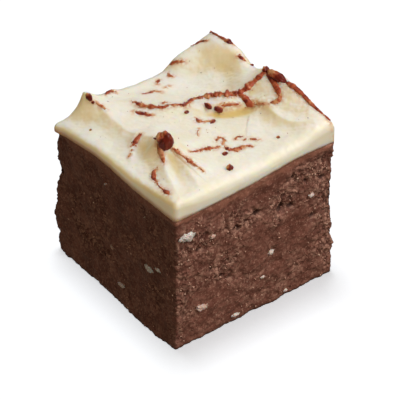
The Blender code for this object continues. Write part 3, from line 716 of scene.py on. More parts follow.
def outline(x, y, inset, radius):
    """Moves points of a square ring onto one with round corners, set in from the outline.

    x and y run from -1 to 1. Also returns the outward direction.
    """
    size = np.maximum(np.abs(x), np.abs(y)) * HALF
    share = np.divide(size - inset, size, out=np.ones_like(size), where=size > 0) * HALF
    straight = np.maximum(size - inset - radius, 0)
    inner_x = np.clip(x * share, -straight, straight)
    inner_y = np.clip(y * share, -straight, straight)
    away_x = x * share - inner_x
    away_y = y * share - inner_y
    length = np.hypot(away_x, away_y)
    out_x = np.divide(away_x, length, out=np.zeros_like(length), where=length > 0)
    out_y = np.divide(away_y, length, out=np.zeros_like(length), where=length > 0)
    return inner_x + out_x * radius, inner_y + out_y * radius, out_x, out_y


def fractal(x, y, z, length, seed):
    """Noise from about -1 to 1 with features of the given length."""
    offset = Vector((seed, 2 * seed, 3 * seed))
    layers = (FRACTAL_FALL, FRACTAL_STEP, FRACTAL_LAYERS)
    values = [
        noise.fractal(Vector(p) / length + offset, *layers, noise_basis="PERLIN_ORIGINAL")
        for p in zip(x, y, z)
    ]
    return np.array(values)


def facing(out_x, out_y, x, y):
    """For each cut face, how much a point's outward direction faces it and the place along it."""
    faces = {}
    for face, (along_x, along_y, face_x, face_y) in FACES.items():
        faces[face] = (np.clip(out_x * face_x + out_y * face_y, 0, 1), x * along_x + y * along_y)
    return faces


def block_relief(x, y, z, out_x, out_y):
    """How far the block's cut faces stand out at each point: sway, crumb and dents."""
    sway = SWAY * fractal(x, y, z, SWAY_LENGTH, seed=11)
    crumb = CRUMB * fractal(x, y, z, CRUMB_LENGTH, seed=23)
    relief = sway + crumb
    faces = facing(out_x, out_y, x, y)
    for face, along, height, reach_along, reach_up, depth in DENTS:
        share, place = faces[face]
        relief = relief - depth * share * bump(place - along, z - height, reach_along, reach_up)
    return relief


def across_edge(x, y, width):
    """0 further in than the given width, 1 at the square's outline, for x and y from -1 to 1."""
    size = np.maximum(np.abs(x), np.abs(y)) * HALF
    return np.clip((size - (HALF - width)) / width, 0, 1)


# Finer detail than the part's source has


def smooth_step(value, low, high):
    """0 below low, 1 above high and smooth between."""
    t = np.clip((value - low) / (high - low), 0, 1)
    return t * t * (3 - 2 * t)


def stretched(x, y, z, axis, length, width, seed):
    """Noise in streaks along an axis, of the given length and width."""
    turn = axis.normalized().to_track_quat("X", "Z").inverted().to_matrix()
    turned = np.array(turn) @ np.stack([x, y, z])
    return fractal(turned[0] / length, turned[1] / width, turned[2] / width, length=1, seed=seed)


def clumps(x, y, z, length, seed):
    """Ragged lumps of the given size, from -1 in the gaps between them to 1 on top.

    Blender's vector noise starts from the clock, so it is seeded here.
    """
    noise.seed_set(seed)
    offset = Vector((seed, 3 * seed, 2 * seed))
    nearest = []
    for p in zip(x, y, z):
        place = Vector(p) / length + offset
        place += CLUMP_RAGGED * noise.noise_vector(place * CLUMP_DETAIL)
        nearest.append(noise.voronoi(place)[0][0])
    return 1 - CLUMP_STEEP * np.minimum(np.array(nearest), CLUMP_DEEPEST)


def torn(x, y, z, out_x, out_y):
    """How torn open the fudge is: 0 where the knife left it smooth, 1 where it crumbled."""
    patchy = TORN_PATCHY * fractal(x, y, z, TORN_LENGTH, seed=41)
    total = np.zeros(np.shape(x))
    faces = facing(out_x, out_y, x, y)
    for face, share in TORN_SHARE.items():
        total = total + faces[face][0] * (share + patchy)
    for face, along, height, reach_along, reach_up, strength in TORN:
        share, place = faces[face]
        total = total + strength * share * bump(place - along, z - height, reach_along, reach_up)
    above_base = TORN_AT_BASE + (1 - TORN_AT_BASE) * smooth_step(z, *TORN_FOOT)
    return np.clip(total - BAND_CLOSES * band(x, y, z), 0, 1) * above_base


def band(x, y, z):
    """1 in the smooth band of fudge just under the white layer, 0 below it."""
    middle = 1 - (np.minimum(np.abs(x), np.abs(y)) / HALF) ** 2
    reach = BAND_EDGE + (BAND_MIDDLE - BAND_EDGE) * middle
    near, far = BAND_FADE
    return 1 - smooth_step(block_top(x, y) - z, near * reach, far * reach)


def joint(x, y):
    """Height of the visible line between block and layer, which wobbles a little."""
    return block_top(x, y) + JOINT_WOBBLE * fractal(x, y, 0 * x, JOINT_WOBBLE_LENGTH, seed=71)


def drag_marks(x, y):
    """Faint lines that the spatula left in the white chocolate, from about -1 to 1."""
    along = x * math.cos(DRAG_HEADING) + y * math.sin(DRAG_HEADING)
    across = y * math.cos(DRAG_HEADING) - x * math.sin(DRAG_HEADING)
    return fractal(along / DRAG_LENGTH, across / DRAG_WIDTH, 0 * x, length=1, seed=83)


def layer_surface(x, y):
    """Height of the layer's top, its rounded rim included."""
    thickness = layer_thickness(x, y)
    rim = rim_radius(x, y)
    edge = HALF + LAYER_PROUD - np.maximum(np.abs(x), np.abs(y))
    over = np.clip(rim - edge, 0, rim)
    return block_top(x, y) + thickness - rim + np.sqrt(rim**2 - over**2)


def on_layer(x, y):
    """Points on the layer's top with the peaks' lean, and the surface's normals there."""
    x, y = np.array(x, float), np.array(y, float)
    shift_x, shift_y = lean(x, y)
    small = 0.05
    slope_x = (layer_surface(x + small, y) - layer_surface(x - small, y)) / (2 * small)
    slope_y = (layer_surface(x, y + small) - layer_surface(x, y - small)) / (2 * small)
    normal = np.stack([-slope_x, -slope_y, np.ones_like(x)], axis=-1)
    normal = normal / np.linalg.norm(normal, axis=-1, keepdims=True)
    return np.stack([x + shift_x, y + shift_y, layer_surface(x, y)], axis=-1), normal


# Mesh making


def square_ring(cells):
    """Points of the unit square's outline, anticlockwise from the corner at -1 -1."""
    run = np.linspace(-1, 1, cells + 1)[:-1]
    one = np.ones(cells)
    x = np.concatenate([run, one, -run, -one])
    y = np.concatenate([-one, run, one, -run])
    return x, y


def wall_faces(around, rows):
    """Quads of a closed wall of rings, each of the given number of points."""
    faces = []
    for row in range(rows):
        low = row * around
        for i in range(around):
            j = (i + 1) % around
            faces.append((low + i, low + j, low + around + j, low + around + i))
    return faces


def fan(ring, centre, upward):
    """Triangles from a ring to one point."""
    turned = [ring[(i + 1) % len(ring)] for i in range(len(ring))]
    if upward:
        return [(a, b, centre) for a, b in zip(ring, turned)]
    return [(b, a, centre) for a, b in zip(ring, turned)]


def piece(name, points, faces, attributes, surface):
    """Makes a smooth shaded mesh object of points in mm, and lets it ride on the part's body."""
    if name in bpy.data.objects:
        raise RuntimeError(f"{name} has been made already")
    mesh = bpy.data.meshes.new(name)
    mesh.from_pydata(np.asarray(points) * MM, [], faces)
    for key, values in attributes.items():
        mesh.attributes.new(key, "FLOAT", "POINT").data.foreach_set("value", values)
    mesh.shade_smooth()
    mesh.materials.append(surface)
    obj = bpy.data.objects.new(name, mesh)
    bpy.context.scene.collection.objects.link(obj)
    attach(obj, BODY)
    return obj


def ball(subdivisions):
    """Points and triangles of a unit ball."""
    bm = bmesh.new()
    bmesh.ops.create_icosphere(bm, subdivisions=subdivisions, radius=1)
    points = np.array([v.co for v in bm.verts])
    faces = np.array([[v.index for v in f.verts] for f in bm.faces])
    bm.free()
    return points, faces


def joined(parts):
    """Several meshes as one: points, faces and the value that each point holds."""
    all_points, all_faces, all_values = [], [], []
    count = 0
    for points, faces, values in parts:
        all_points.append(points)
        all_faces += [[i + count for i in face] for face in faces]
        all_values.append(values)
        count += len(points)
    return np.concatenate(all_points), all_faces, np.concatenate(all_values)


def scattered(centres, radii, rng):
    """Small turned and squashed balls as one mesh: points, triangles and how many points each has."""
    points, faces = ball(1)
    all_points, all_faces = [], []
    for i, (centre, radius) in enumerate(zip(centres, radii)):
        turn = Matrix.Rotation(rng.uniform(0, math.tau), 3, rng.normal(size=3))
        shape = points * rng.uniform(*SQUASHED, 3) * radius
        shape = shape * rng.uniform(*RAGGED, (len(points), 1))
        all_points.append(shape @ np.array(turn).T + centre)
        all_faces.append(faces + i * len(points))
    return np.concatenate(all_points), np.concatenate(all_faces).tolist(), len(points)


# Materials


def connect(tree, node, inputs):
    """Gives a node its inputs: a number or a colour is set, a socket is linked."""
    for name, value in inputs.items():
        if isinstance(value, bpy.types.NodeSocket):
            tree.links.new(value, node.inputs[name])
        else:
            node.inputs[name].default_value = value


def add(tree, kind, inputs, **settings):
    """Adds a node with its settings and its inputs."""
    made = tree.nodes.new(kind)
    for name, value in settings.items():
        setattr(made, name, value)
    connect(tree, made, inputs)
    return made


def new_material(name, marks, grains):
    """An empty node material and the values it reads: its mesh's marks, and noises with their grains.

    Each noise has the length of its features in mm and how fine its detail is.
    """
    made = bpy.data.materials.new(name)
    made.use_nodes = True
    tree = made.node_tree
    values = {}
    for mark in marks:
        values[mark] = add(tree, "ShaderNodeAttribute", {}, attribute_name=mark).outputs["Fac"]
    place = add(tree, "ShaderNodeTexCoord", {}).outputs["Object"]
    for grain, (length, detail) in grains.items():
        noise_inputs = {"Vector": place, "Scale": 1 / (length * MM), "Detail": detail, "Roughness": 0.6}
        values[grain] = add(tree, "ShaderNodeTexNoise", noise_inputs).outputs["Fac"]
    return made, tree, values


def coated(tree, values, colours, base, coats):
    """A base colour under coats of others, each as strong as the values that it follows say."""
    surface = (*getattr(colours, base), 1)
    for coat, strength, followed in coats:
        amount = strength
        for name, *ends in followed:
            low, high = ends or (0, 1)
            shown = add(
                tree, "ShaderNodeMapRange",
                {"Value": values[name], "From Min": low, "From Max": high, "To Max": amount},
                interpolation_type="SMOOTHSTEP" if ends else "LINEAR",
            )
            amount = shown.outputs["Result"]
        colour_inputs = {MIX_AMOUNT: amount, MIX_UNDER: surface, MIX_OVER: (*getattr(colours, coat), 1)}
        surface = add(tree, "ShaderNodeMix", colour_inputs, data_type="RGBA").outputs[MIX_COLOUR]
    return surface


def finished(made, surface, height, depth, inputs):
    """Gives a material's shader its colour, bump of the given depth in mm and other inputs."""
    tree = made.node_tree
    bumped = add(tree, "ShaderNodeBump", {"Height": height, "Distance": depth * MM})
    shader = tree.nodes["Principled BSDF"]
    connect(tree, shader, {"Base Color": surface, "Normal": bumped.outputs["Normal"], **inputs})
    return made


def ragged_grains(tree, length):
    """Ragged grains of the given length in mm: 0 on a grain to 1 between them, and its kind."""
    place = add(tree, "ShaderNodeTexCoord", {}).outputs["Object"]
    wobble = add(tree, "ShaderNodeTexNoise", {"Vector": place, "Scale": 1 / (length * MM), "Detail": 2})
    moved = add(
        tree, "ShaderNodeVectorMath", {0: wobble.outputs["Color"], 1: (length * MM,) * 3, 2: place},
        operation="MULTIPLY_ADD",
    )
    cells = add(
        tree, "ShaderNodeTexVoronoi", {"Vector": moved.outputs["Vector"], "Scale": 1 / (length * MM)}
    )
    return {"between": cells.outputs["Distance"], "kind": cells.outputs["Color"]}


def fudge_material(colours):
    """Milk chocolate fudge, knife cut: satin where the knife pressed it, dull and grainy if torn, with
    painted shade in its pits, between its grains and along its foot, and a painted highlight on the torn
    fudge's high points.
    """
    made, tree, values = new_material(
        "milk chocolate fudge, knife cut", ("torn", "fine", "streak", "band", "relief"), FUDGE_GRAINS
    )
    values |= ragged_grains(tree, FUDGE_GRAIN)
    # The height above the floor places the painted shade along the block's foot.
    position = add(tree, "ShaderNodeNewGeometry", {}).outputs["Position"]
    values["height"] = add(tree, "ShaderNodeSeparateXYZ", {0: position}).outputs["Z"]
    surface = coated(tree, values, colours, "fudge_deep", FUDGE_COATS)
    smooth, dull = FUDGE_ROUGHNESS
    rough = add(tree, "ShaderNodeMapRange", {"Value": values["torn"], "To Min": smooth, "To Max": dull})
    sunken = add(
        tree, "ShaderNodeMath", {0: values["torn"], 1: -FUDGE_GRAIN_RELIEF}, operation="MULTIPLY"
    )
    lumps = add(
        tree, "ShaderNodeMath", {0: values["between"], 1: sunken.outputs["Value"]}, operation="MULTIPLY"
    )
    height = add(
        tree, "ShaderNodeMath", {0: values["speckle"], 1: FUDGE_BUMP, 2: lumps.outputs["Value"]},
        operation="MULTIPLY_ADD",
    )
    return finished(
        made, surface, height.outputs["Value"], 1,
        {"Roughness": rough.outputs["Result"], "Specular IOR Level": 0.2},
    )


def white_material(colours):
    """White chocolate, spread with a spatula: creamy, slightly translucent, with painted yellow shade in
    hollows and on slopes, most on those facing -X.
    """
    made, tree, values = new_material(
        "white chocolate, spatula spread", ("hollow", "lip", "smear"), WHITE_GRAINS
    )
    # The normal's parts place painted shade on slopes and on slopes facing -X.
    normal = add(tree, "ShaderNodeNewGeometry", {}).outputs["Normal"]
    turned = add(tree, "ShaderNodeSeparateXYZ", {0: normal})
    values |= {"upright": turned.outputs["Z"], "rightward": turned.outputs["X"]}
    surface = coated(tree, values, colours, "white", WHITE_COATS)
    return finished(
        made, surface, values["grain"], WHITE_BUMP,
        {
            "Roughness": 0.4, "Subsurface Weight": 0.75, "Subsurface Radius": (1.0, 0.7, 0.35),
            "Subsurface Scale": WHITE_SCATTER * MM,
        },
    )


def dark_material(colours):
    """Dark chocolate, smeared and set: deep red brown where thick, tan where thin, and paler where the
    caps carry a painted highlight.
    """
    made, tree, values = new_material(
        "dark chocolate, smeared and set", ("thick",), {"mottle": (DARK_MOTTLE, 2)}
    )
    shade = add(
        tree, "ShaderNodeMath", {0: values["mottle"], 1: DARK_MOTTLING, 2: values["thick"]},
        operation="MULTIPLY_ADD",
    )
    surface = coated(tree, {"shade": shade.outputs["Value"]}, colours, "dark_thin", DARK_COATS)
    return finished(
        made, surface, values["mottle"], DARK_BUMP,
        {"Roughness": 0.35, "Specular IOR Level": 0.28, "Coat Weight": 0.08, "Coat Roughness": 0.15},
    )


def fleck_material(colours):
    """Flaked coconut, sunk in the fudge: pale, fibrous and a little greasy."""
    made, tree, values = new_material("coconut, flaked", ("fudgy",), {"fibre": (FLECK_FIBRE, 2)})
    surface = coated(tree, values, colours, "fleck_dull", FLECK_COATS)
    return finished(
        made, surface, values["fibre"], FLECK_BUMP,
        {"Roughness": 0.5, "Subsurface Weight": 0.2, "Subsurface Scale": FLECK_SCATTER * MM},
    )


def crumb_material(colours):
    """Milk chocolate fudge, crumbled: dull grains, some paler than the cut."""
    made, tree, values = new_material(
        "milk chocolate fudge, crumbled", ("pale",), {"speckle": (FUDGE_SPECKLE, 2)}
    )
    surface = coated(tree, values, colours, "fudge", CRUMB_COATS)
    return finished(
        made, surface, values["speckle"], FUDGE_BUMP, {"Roughness": 0.65, "Specular IOR Level": 0.3}
    )


def dust_material(colours):
    """Chocolate dust, caught in the white: grey brown to dark brown grains."""
    made, tree, values = new_material("chocolate dust", ("thick",), {})
    surface = coated(tree, values, colours, "dust", DUST_COATS)
    shader = tree.nodes["Principled BSDF"]
    connect(tree, shader, {"Base Color": surface, "Roughness": 0.6})
    return made


def paper_material(colours):
    """Background paper, matt white and rolled out: plain, with no sheen."""
    made, tree, values = new_material("background paper, matt", (), {"fibre": (PAPER_FIBRE, 2)})
    surface = coated(tree, values, colours, "paper", PAPER_COATS)
    shader = tree.nodes["Principled BSDF"]
    connect(tree, shader, {"Base Color": surface, "Emission Color": surface})
    connect(tree, shader, {"Emission Strength": PAPER_GLOW, "Roughness": 0.9, "Specular IOR Level": 0})
    return made


# Pieces


def block_points(sizes):
    """The block's cut walls as rings from the base to the joint, with what the material needs."""
    ring_x, ring_y = square_ring(BLOCK_CELLS)
    px, py, out_x, out_y = outline(ring_x, ring_y, 0, BLOCK_CORNER)
    up = np.repeat(np.linspace(0, 1, BLOCK_ROWS + 1), len(px))
    tops = np.tile(joint(px, py), BLOCK_ROWS + 1)
    x, y, out_x, out_y = (np.tile(v, BLOCK_ROWS + 1) for v in (px, py, out_x, out_y))
    z = up * tops
    open_crumb = torn(x, y, z, out_x, out_y)
    fine = fine_relief(x, y, z, open_crumb, sizes)
    relief = block_relief(x, y, z, out_x, out_y) + fine
    streaks = stretched(x, y, z, DRAG_AXIS, STREAK_LENGTH, STREAK_WIDTH, seed=61)
    near_joint = smooth_step(tops - z, 0, TUCK_REACH)
    stand = relief * near_joint
    points = np.stack([x + out_x * stand, y + out_y * stand, z], axis=-1)
    marks = {
        "torn": open_crumb,
        # The relief marks place painted shade in low places and a painted highlight on high ones.
        "relief": np.clip(relief / RELIEF_SCALE, -1, 1),
        "fine": np.clip(fine / RELIEF_SCALE, -1, 1),
        "streak": streaks,
        "band": band(x, y, z),
    }
    return points, marks, np.stack([px, py, joint(px, py)], axis=-1)


def fine_relief(x, y, z, open_crumb, sizes):
    """Clumps and grit where the fudge is torn, faint drag lines where it is smooth."""
    clump = sizes.clump / MM * clumps(x, y, z, CLUMP_LENGTH, seed=5)
    grit = sizes.grit / MM * fractal(x, y, z, GRIT_LENGTH, seed=29)
    dragged = DRAGGED * stretched(x, y, z, DRAG_AXIS, DRAGGED_LENGTH, DRAGGED_WIDTH, seed=37)
    return open_crumb * (clump + grit) + dragged


def make_block(sizes, colours):
    """The block of fudge."""
    points, marks, rim = block_points(sizes)
    around = 4 * BLOCK_CELLS
    inner = rim * (1 - TUCK_IN / HALF, 1 - TUCK_IN / HALF, 1) + (0, 0, TUCK_UP)
    ends = [(0, 0, 0), (0, 0, float(block_top(0.0, 0.0)) + TUCK_UP)]
    faces = wall_faces(around, BLOCK_ROWS + 1)
    base, top = len(points) + around, len(points) + around + 1
    faces += fan(range(around), base, False)
    faces += fan(range(len(points), len(points) + around), top, True)
    marks = {key: np.concatenate([v, np.zeros(around + 2)]) for key, v in marks.items()}
    block = piece(
        "fudge_block", np.concatenate([points, inner, ends]), faces, marks, fudge_material(colours)
    )
    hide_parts("praline_block")


def place_layer(x, y, z, top, sizes):
    """Points of the white layer from unit ones: its lip follows the joint and its rim is rounded.

    Also returns each point's place before the lean and its height above the lip.
    """
    rim = rim_radius(x * HALF, y * HALF)
    across = across_edge(x, y, rim)
    rounded = 0
    for place in (x, y):
        over = np.clip((np.abs(place) * HALF - (HALF - rim)) / rim, 0, 1)
        rounded = rounded + over**RIM_CORNER_POWER
    rounded = rounded ** (1 / RIM_CORNER_POWER)
    turn = math.pi / 2 - rounded * math.pi / 4
    up = (z + 1) / 2
    wall = np.clip(up / WALL_ROWS_SHARE, 0, 1)
    bend = np.clip((up - WALL_ROWS_SHARE) / (1 - WALL_ROWS_SHARE), 0, 1)
    turn = np.where(top, turn, turn * bend)
    inset = rim * (across - np.cos(turn))
    px, py, out_x, out_y = outline(x, y, inset, LAYER_CORNER * across)
    thickness = layer_thickness(px, py) + sizes.drag_marks / MM * drag_marks(px, py)
    low = joint(px, py) + LIP
    pz = low + (thickness - rim - LIP) * wall + rim * np.sin(turn)
    shift_x, shift_y = lean(px, py)
    proud = (LAYER_PROUD + LOBE * bump(px + HALF, py - HALF, LOBE_REACH, LOBE_REACH)) * across
    moved_x = px + out_x * proud + shift_x * top
    moved_y = py + out_y * proud + shift_y * top
    return np.stack([moved_x, moved_y, pz], axis=-1), px, py, pz - low


def hollowness(x, y):
    """Above 0 where the layer lies lower than what surrounds it, 1 in a deep hollow."""
    around = np.zeros(np.shape(x))
    for angle in np.arange(HOLLOW_SPOKES) * math.tau / HOLLOW_SPOKES:
        away_x, away_y = HOLLOW_REACH * math.cos(angle), HOLLOW_REACH * math.sin(angle)
        around = around + layer_thickness(x + away_x, y + away_y)
    return np.clip((around / HOLLOW_SPOKES - layer_thickness(x, y)) / HOLLOW_DEPTH, -1, 1)


def smeared(x, y):
    """How much dark chocolate was wiped thin over the white round each stroke."""
    total = np.zeros(np.shape(x))
    for _, _, points in STROKES.values():
        distance, half, _ = nearest_on(x, y, smooth_path(points, SMEAR_PATH_STEPS))
        total = np.maximum(total, np.exp(-((distance / (half + SMEAR_REACH)) ** 2)))
    return total


def make_layer(sizes, colours):
    """The swirled layer of white chocolate."""
    ring_x, ring_y = square_ring(LAYER_CELLS)
    around = len(ring_x)
    up = np.repeat(np.linspace(-1, 1, LAYER_ROWS + 1)[:-1], around)
    run = np.linspace(-1, 1, LAYER_CELLS + 1)
    grid_x, grid_y = (v.ravel() for v in np.meshgrid(run, run, indexing="ij"))
    x = np.concatenate([np.tile(ring_x, LAYER_ROWS), grid_x])
    y = np.concatenate([np.tile(ring_y, LAYER_ROWS), grid_y])
    z = np.concatenate([up, np.ones(len(grid_x))])
    is_top = np.arange(len(x)) >= len(up)
    points, px, py, height = place_layer(x, y, z, is_top, sizes)
    side = LAYER_CELLS + 1
    at = len(up) + np.arange(side * side).reshape(side, side)
    faces = wall_faces(around, LAYER_ROWS - 1)
    edge = np.concatenate([at[:-1, 0], at[-1, :-1], at[:0:-1, -1], at[0, :0:-1]]).tolist()
    low = (LAYER_ROWS - 1) * around
    for i in range(around):
        j = (i + 1) % around
        faces.append((low + i, low + j, edge[j], edge[i]))
    quads = np.stack([at[:-1, :-1], at[1:, :-1], at[1:, 1:], at[:-1, 1:]], axis=-1)
    faces += quads.reshape(-1, 4).tolist()
    faces += fan(range(around), len(points), False)
    centre = [(0, 0, float(block_top(0.0, 0.0)) + LIP)]
    lip_reach = LIP_REACH + LIP_SPREAD * bump(px + HALF, 0, LIP_SPREAD_REACH, 1)
    marks = {
        # The hollow mark places the white's painted shade.
        "hollow": hollowness(px, py),
        "smear": smeared(px, py),
        "lip": 1 - smooth_step(height, 0, lip_reach),
    }
    marks = {key: np.append(v, 0.0) for key, v in marks.items()}
    layer = piece(
        "white_layer", np.concatenate([points, centre]), faces, marks, white_material(colours)
    )
    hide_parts("white_top")


def run_length(points):
    """Length of the straight runs between a stroke's points, seen from above."""
    return sum(math.dist(a[:2], b[:2]) for a, b in zip(points, points[1:]))


def strand(points, dark, crumbly):
    """A flat strand on the layer, ragged if crumbly: points, faces and how thick it looks."""
    length = run_length(points)
    steps = max(STROKE_FEWEST_STEPS, round(length / STROKE_STEP / (len(points) - 1)))
    path = smooth_path(points, steps)
    centre, normal = on_layer(path[:, 0], path[:, 1])
    along = np.gradient(centre, axis=0)
    along = along / np.linalg.norm(along, axis=-1, keepdims=True)
    side = np.cross(normal, along)
    half = path[:, 2]
    run = np.linspace(0, length, len(path))
    taper = np.sqrt(np.clip(np.minimum(run, length - run) / (STROKE_TAPER * half), STROKE_END, 1))
    lumps = fractal(*centre.T, STROKE_LUMP_LENGTH, seed=7)
    width = half * taper * (1 + STROKE_LUMPS * crumbly * lumps)
    angle = np.arange(STROKE_SIDES) * math.tau / STROKE_SIDES
    across = width[:, None, None] * np.cos(angle)[None, :, None] * side[:, None, :]
    upward = width[:, None, None] * np.sin(angle)[None, :, None] * normal[:, None, :]
    offset = across + STROKE_FLATNESS * upward
    around = centre[:, None, :] + offset
    grit = fractal(*around.reshape(-1, 3).T, STROKE_GRIT_LENGTH, seed=13).reshape(len(path), -1, 1)
    sunk = (STROKE_SUNK * half)[:, None] * normal
    around = around + STROKE_GRIT * crumbly * grit * offset - sunk[:, None, :]
    shade = dark + STROKE_SHADE * fractal(*centre.T, STROKE_SHADE_LENGTH, seed=31)
    thick = shade[:, None] + STROKE_RIM * np.sin(angle)[None, :] + STROKE_SPOTS * grit[:, :, 0]
    count = len(path) * STROKE_SIDES
    ends = (centre - sunk)[[0, -1]]
    faces = [face[::-1] for face in wall_faces(STROKE_SIDES, len(path) - 1)]
    faces += fan(range(STROKE_SIDES), count, True)
    faces += fan(range(count - STROKE_SIDES, count), count + 1, False)
    points = np.concatenate([around.reshape(-1, 3), ends])
    return points, faces, np.concatenate([thick.ravel(), [dark, dark]])


def grains_along(points, crumbly, rng):
    """Centres and radii of loose grains of dark chocolate beside and on a strand."""
    path = smooth_path(points, GRAIN_PATH_STEPS)
    length = run_length(points)
    picked = path[rng.integers(0, len(path), 1 + round(length * GRAINS_PER_MM * crumbly))]
    spread = rng.normal(0, GRAIN_SPREAD, (len(picked), 2)) * picked[:, 2:]
    centre, normal = on_layer(*(picked[:, :2] + spread).T)
    radii = rng.uniform(*GRAIN_RADII, len(centre))
    return centre + normal * (radii * GRAIN_RAISED)[:, None], radii


def make_strokes(colours):
    """The dark chocolate dragged along the crests, with its grains."""
    rng = np.random.default_rng(seed=17)
    parts = []
    for dark, crumbly, path in STROKES.values():
        parts.append(strand(path, dark, crumbly))
        centres, radii = grains_along(path, crumbly, rng)
        grains, grain_faces, per_grain = scattered(centres, radii, rng)
        shades = np.repeat(rng.uniform(*GRAIN_SHADES, len(centres)) + dark, per_grain)
        parts.append((grains, grain_faces, shades))
    points, faces, thick = joined(parts)
    strokes = piece("dark_strokes", points, faces, {"thick": thick}, dark_material(colours))


def make_caps(colours):
    """Thick dark chocolate on the peaks, and loose drops of it."""
    unit, unit_faces = ball(4)
    parts = []
    for x, y, rise, long, wide, high, heading in CAPS.values():
        (centre,), _ = on_layer([x], [y])
        centre = centre + (0, 0, rise)
        places = [Vector(p) * CAP_LUMP_FINENESS + Vector(centre) for p in unit]
        lumps = 1 + CAP_LUMPS * np.array([noise.noise(place) for place in places])
        turn = np.array(Matrix.Rotation(math.radians(heading), 3, "Z"))
        body = unit * lumps[:, None] * (long, wide, high) @ turn.T
        grit = fractal(*(body + centre).T, CAP_GRIT_LENGTH, seed=19)
        # Paler on the caps' upper back side: thinner chocolate there, and a painted highlight.
        pale = smooth_step(unit @ CAP_THIN_AND_HIGHLIGHT_SIDE + CAP_PALE_RAGGED * grit, *CAP_PALE_ENDS)
        thick = CAP_DARK + CAP_MOTTLE * grit - CAP_PALE * pale
        parts.append((body + unit * CAP_GRIT * grit[:, None] + centre, unit_faces, thick))
    points, faces, thick = joined(parts)
    caps = piece("dark_caps", points, faces, {"thick": thick}, dark_material(colours))


def make_dust(sizes, colours):
    """Dust of dark chocolate in the white layer."""
    rng = np.random.default_rng(seed=5)
    count = sizes.specks
    x, y = rng.uniform(-HALF + SPECK_MARGIN, HALF - SPECK_MARGIN, (2, count))
    centres, normals = on_layer(x, y)
    radii = rng.uniform(*SPECK_RADII, count)
    points, faces, each = scattered(centres + normals * radii[:, None] * SPECK_RAISED, radii, rng)
    dark = np.repeat(rng.uniform(0, 1, count) ** 2, each)
    specks = piece("chocolate_dust", points, faces, {"thick": dark}, dust_material(colours))


def on_faces(names, along, height, sizes):
    """Points on the cut faces, relief included, their outward directions and how torn they are."""
    along_x, along_y, out_x, out_y = np.array([FACES[name] for name in names], float).T
    x = along * along_x + HALF * out_x
    y = along * along_y + HALF * out_y
    open_crumb = torn(x, y, height, out_x, out_y)
    relief = block_relief(x, y, height, out_x, out_y)
    relief = relief + fine_relief(x, y, height, open_crumb, sizes)
    points = np.stack([x + out_x * relief, y + out_y * relief, height], axis=-1)
    return points, np.stack([out_x, out_y, 0 * out_x], axis=-1), open_crumb


def make_flecks(sizes, colours):
    """Pale flakes that the knife cut through."""
    unit, unit_faces = ball(4)
    parts = []
    for face, along, height, length, width, slant, white in FLECKS:
        (centre,), _, _ = on_faces([face], np.array([along]), np.array([height]), sizes)
        turn = Matrix.Rotation(math.radians(-slant), 3, "Y")
        if face == "left":
            turn = Matrix.Rotation(-math.pi / 2, 3, "Z") @ turn
        lumps = 1 + FLECK_LUMPS * fractal(*(unit + centre).T, FLECK_LUMP_LENGTH, seed=3)
        body = unit * lumps[:, None] * (length / 2, FLECK_PROUD, width / 2)
        parts.append((body @ np.array(turn).T + centre, unit_faces, np.full(len(unit), 1 - white)))
    points, faces, fudgy = joined(parts)
    flecks = piece("pale_flecks", points, faces, {"fudgy": fudgy}, fleck_material(colours))


def make_crumbs(sizes, colours):
    """Grains of fudge that came loose on the torn parts of the cut faces."""
    rng = np.random.default_rng(seed=31)
    tries = sizes.crumbs * CRUMB_TRIES
    names = rng.choice(list(FACES), tries)
    along = rng.uniform(-CRUMB_SPREAD, CRUMB_SPREAD, tries)
    height = rng.uniform(CRUMB_LOWEST, BLOCK_FRONT_HEIGHT - CRUMB_BELOW_JOINT, tries)
    points, out, open_crumb = on_faces(names, along, height, sizes)
    kept = np.flatnonzero(rng.uniform(0, 1, tries) < open_crumb)[: sizes.crumbs]
    radii = rng.uniform(*CRUMB_RADII, len(kept))
    centres = points[kept] + out[kept] * (radii * GRAIN_RAISED)[:, None]
    grains, faces, each = scattered(centres, radii, rng)
    pale = np.repeat(rng.uniform(0, 1, len(kept)), each)
    crumbs = piece("loose_crumbs", grains, faces, {"pale": pale}, crumb_material(colours))


# Stage


def direction(azimuth, elevation):
    """Unit vector towards a place: azimuth 0 is at -Y and 90 at +X, in degrees."""
    a, e = math.radians(azimuth), math.radians(elevation)
    return Vector((math.sin(a) * math.cos(e), -math.cos(a) * math.cos(e), math.sin(e)))


def soft_light(name, azimuth, elevation, distance, size, power, colour, lit):
    """A square area light aimed at the praline; lit is the collection of what it lights."""
    light = bpy.data.lights.new(name, "AREA")
    light.size = size * MM
    light.energy = power
    light.color = colour
    holder = bpy.data.objects.new(name, light)
    away = direction(azimuth, elevation)
    holder.location = (away * distance + Vector((0, 0, AIM_HEIGHT))) * MM
    holder.rotation_euler = away.to_track_quat("Z", "Y").to_euler()
    bpy.context.scene.collection.objects.link(holder)
    holder.light_linking.receiver_collection = lit


def make_camera():
    """The camera, looking down on the front corner."""
    camera = bpy.data.cameras.new("camera")
    camera.sensor_width = SENSOR_WIDTH
    camera.lens = SENSOR_WIDTH * VIEW_DISTANCE / VIEW_WIDTH
    camera.clip_end = CLIP_END_METRES
    holder = bpy.data.objects.new("camera", camera)
    back = direction(VIEW_AZIMUTH, VIEW_ELEVATION)
    right = direction(VIEW_AZIMUTH + 90, 0)
    up = back.cross(right)
    aim = Vector((0, 0, AIM_HEIGHT)) + right * VIEW_AIM[0] + up * VIEW_AIM[1]
    holder.location = (aim + back * VIEW_DISTANCE) * MM
    holder.rotation_euler = Matrix((right, up, back)).transposed().to_euler()
    bpy.context.scene.collection.objects.link(holder)
    bpy.context.scene.camera = holder


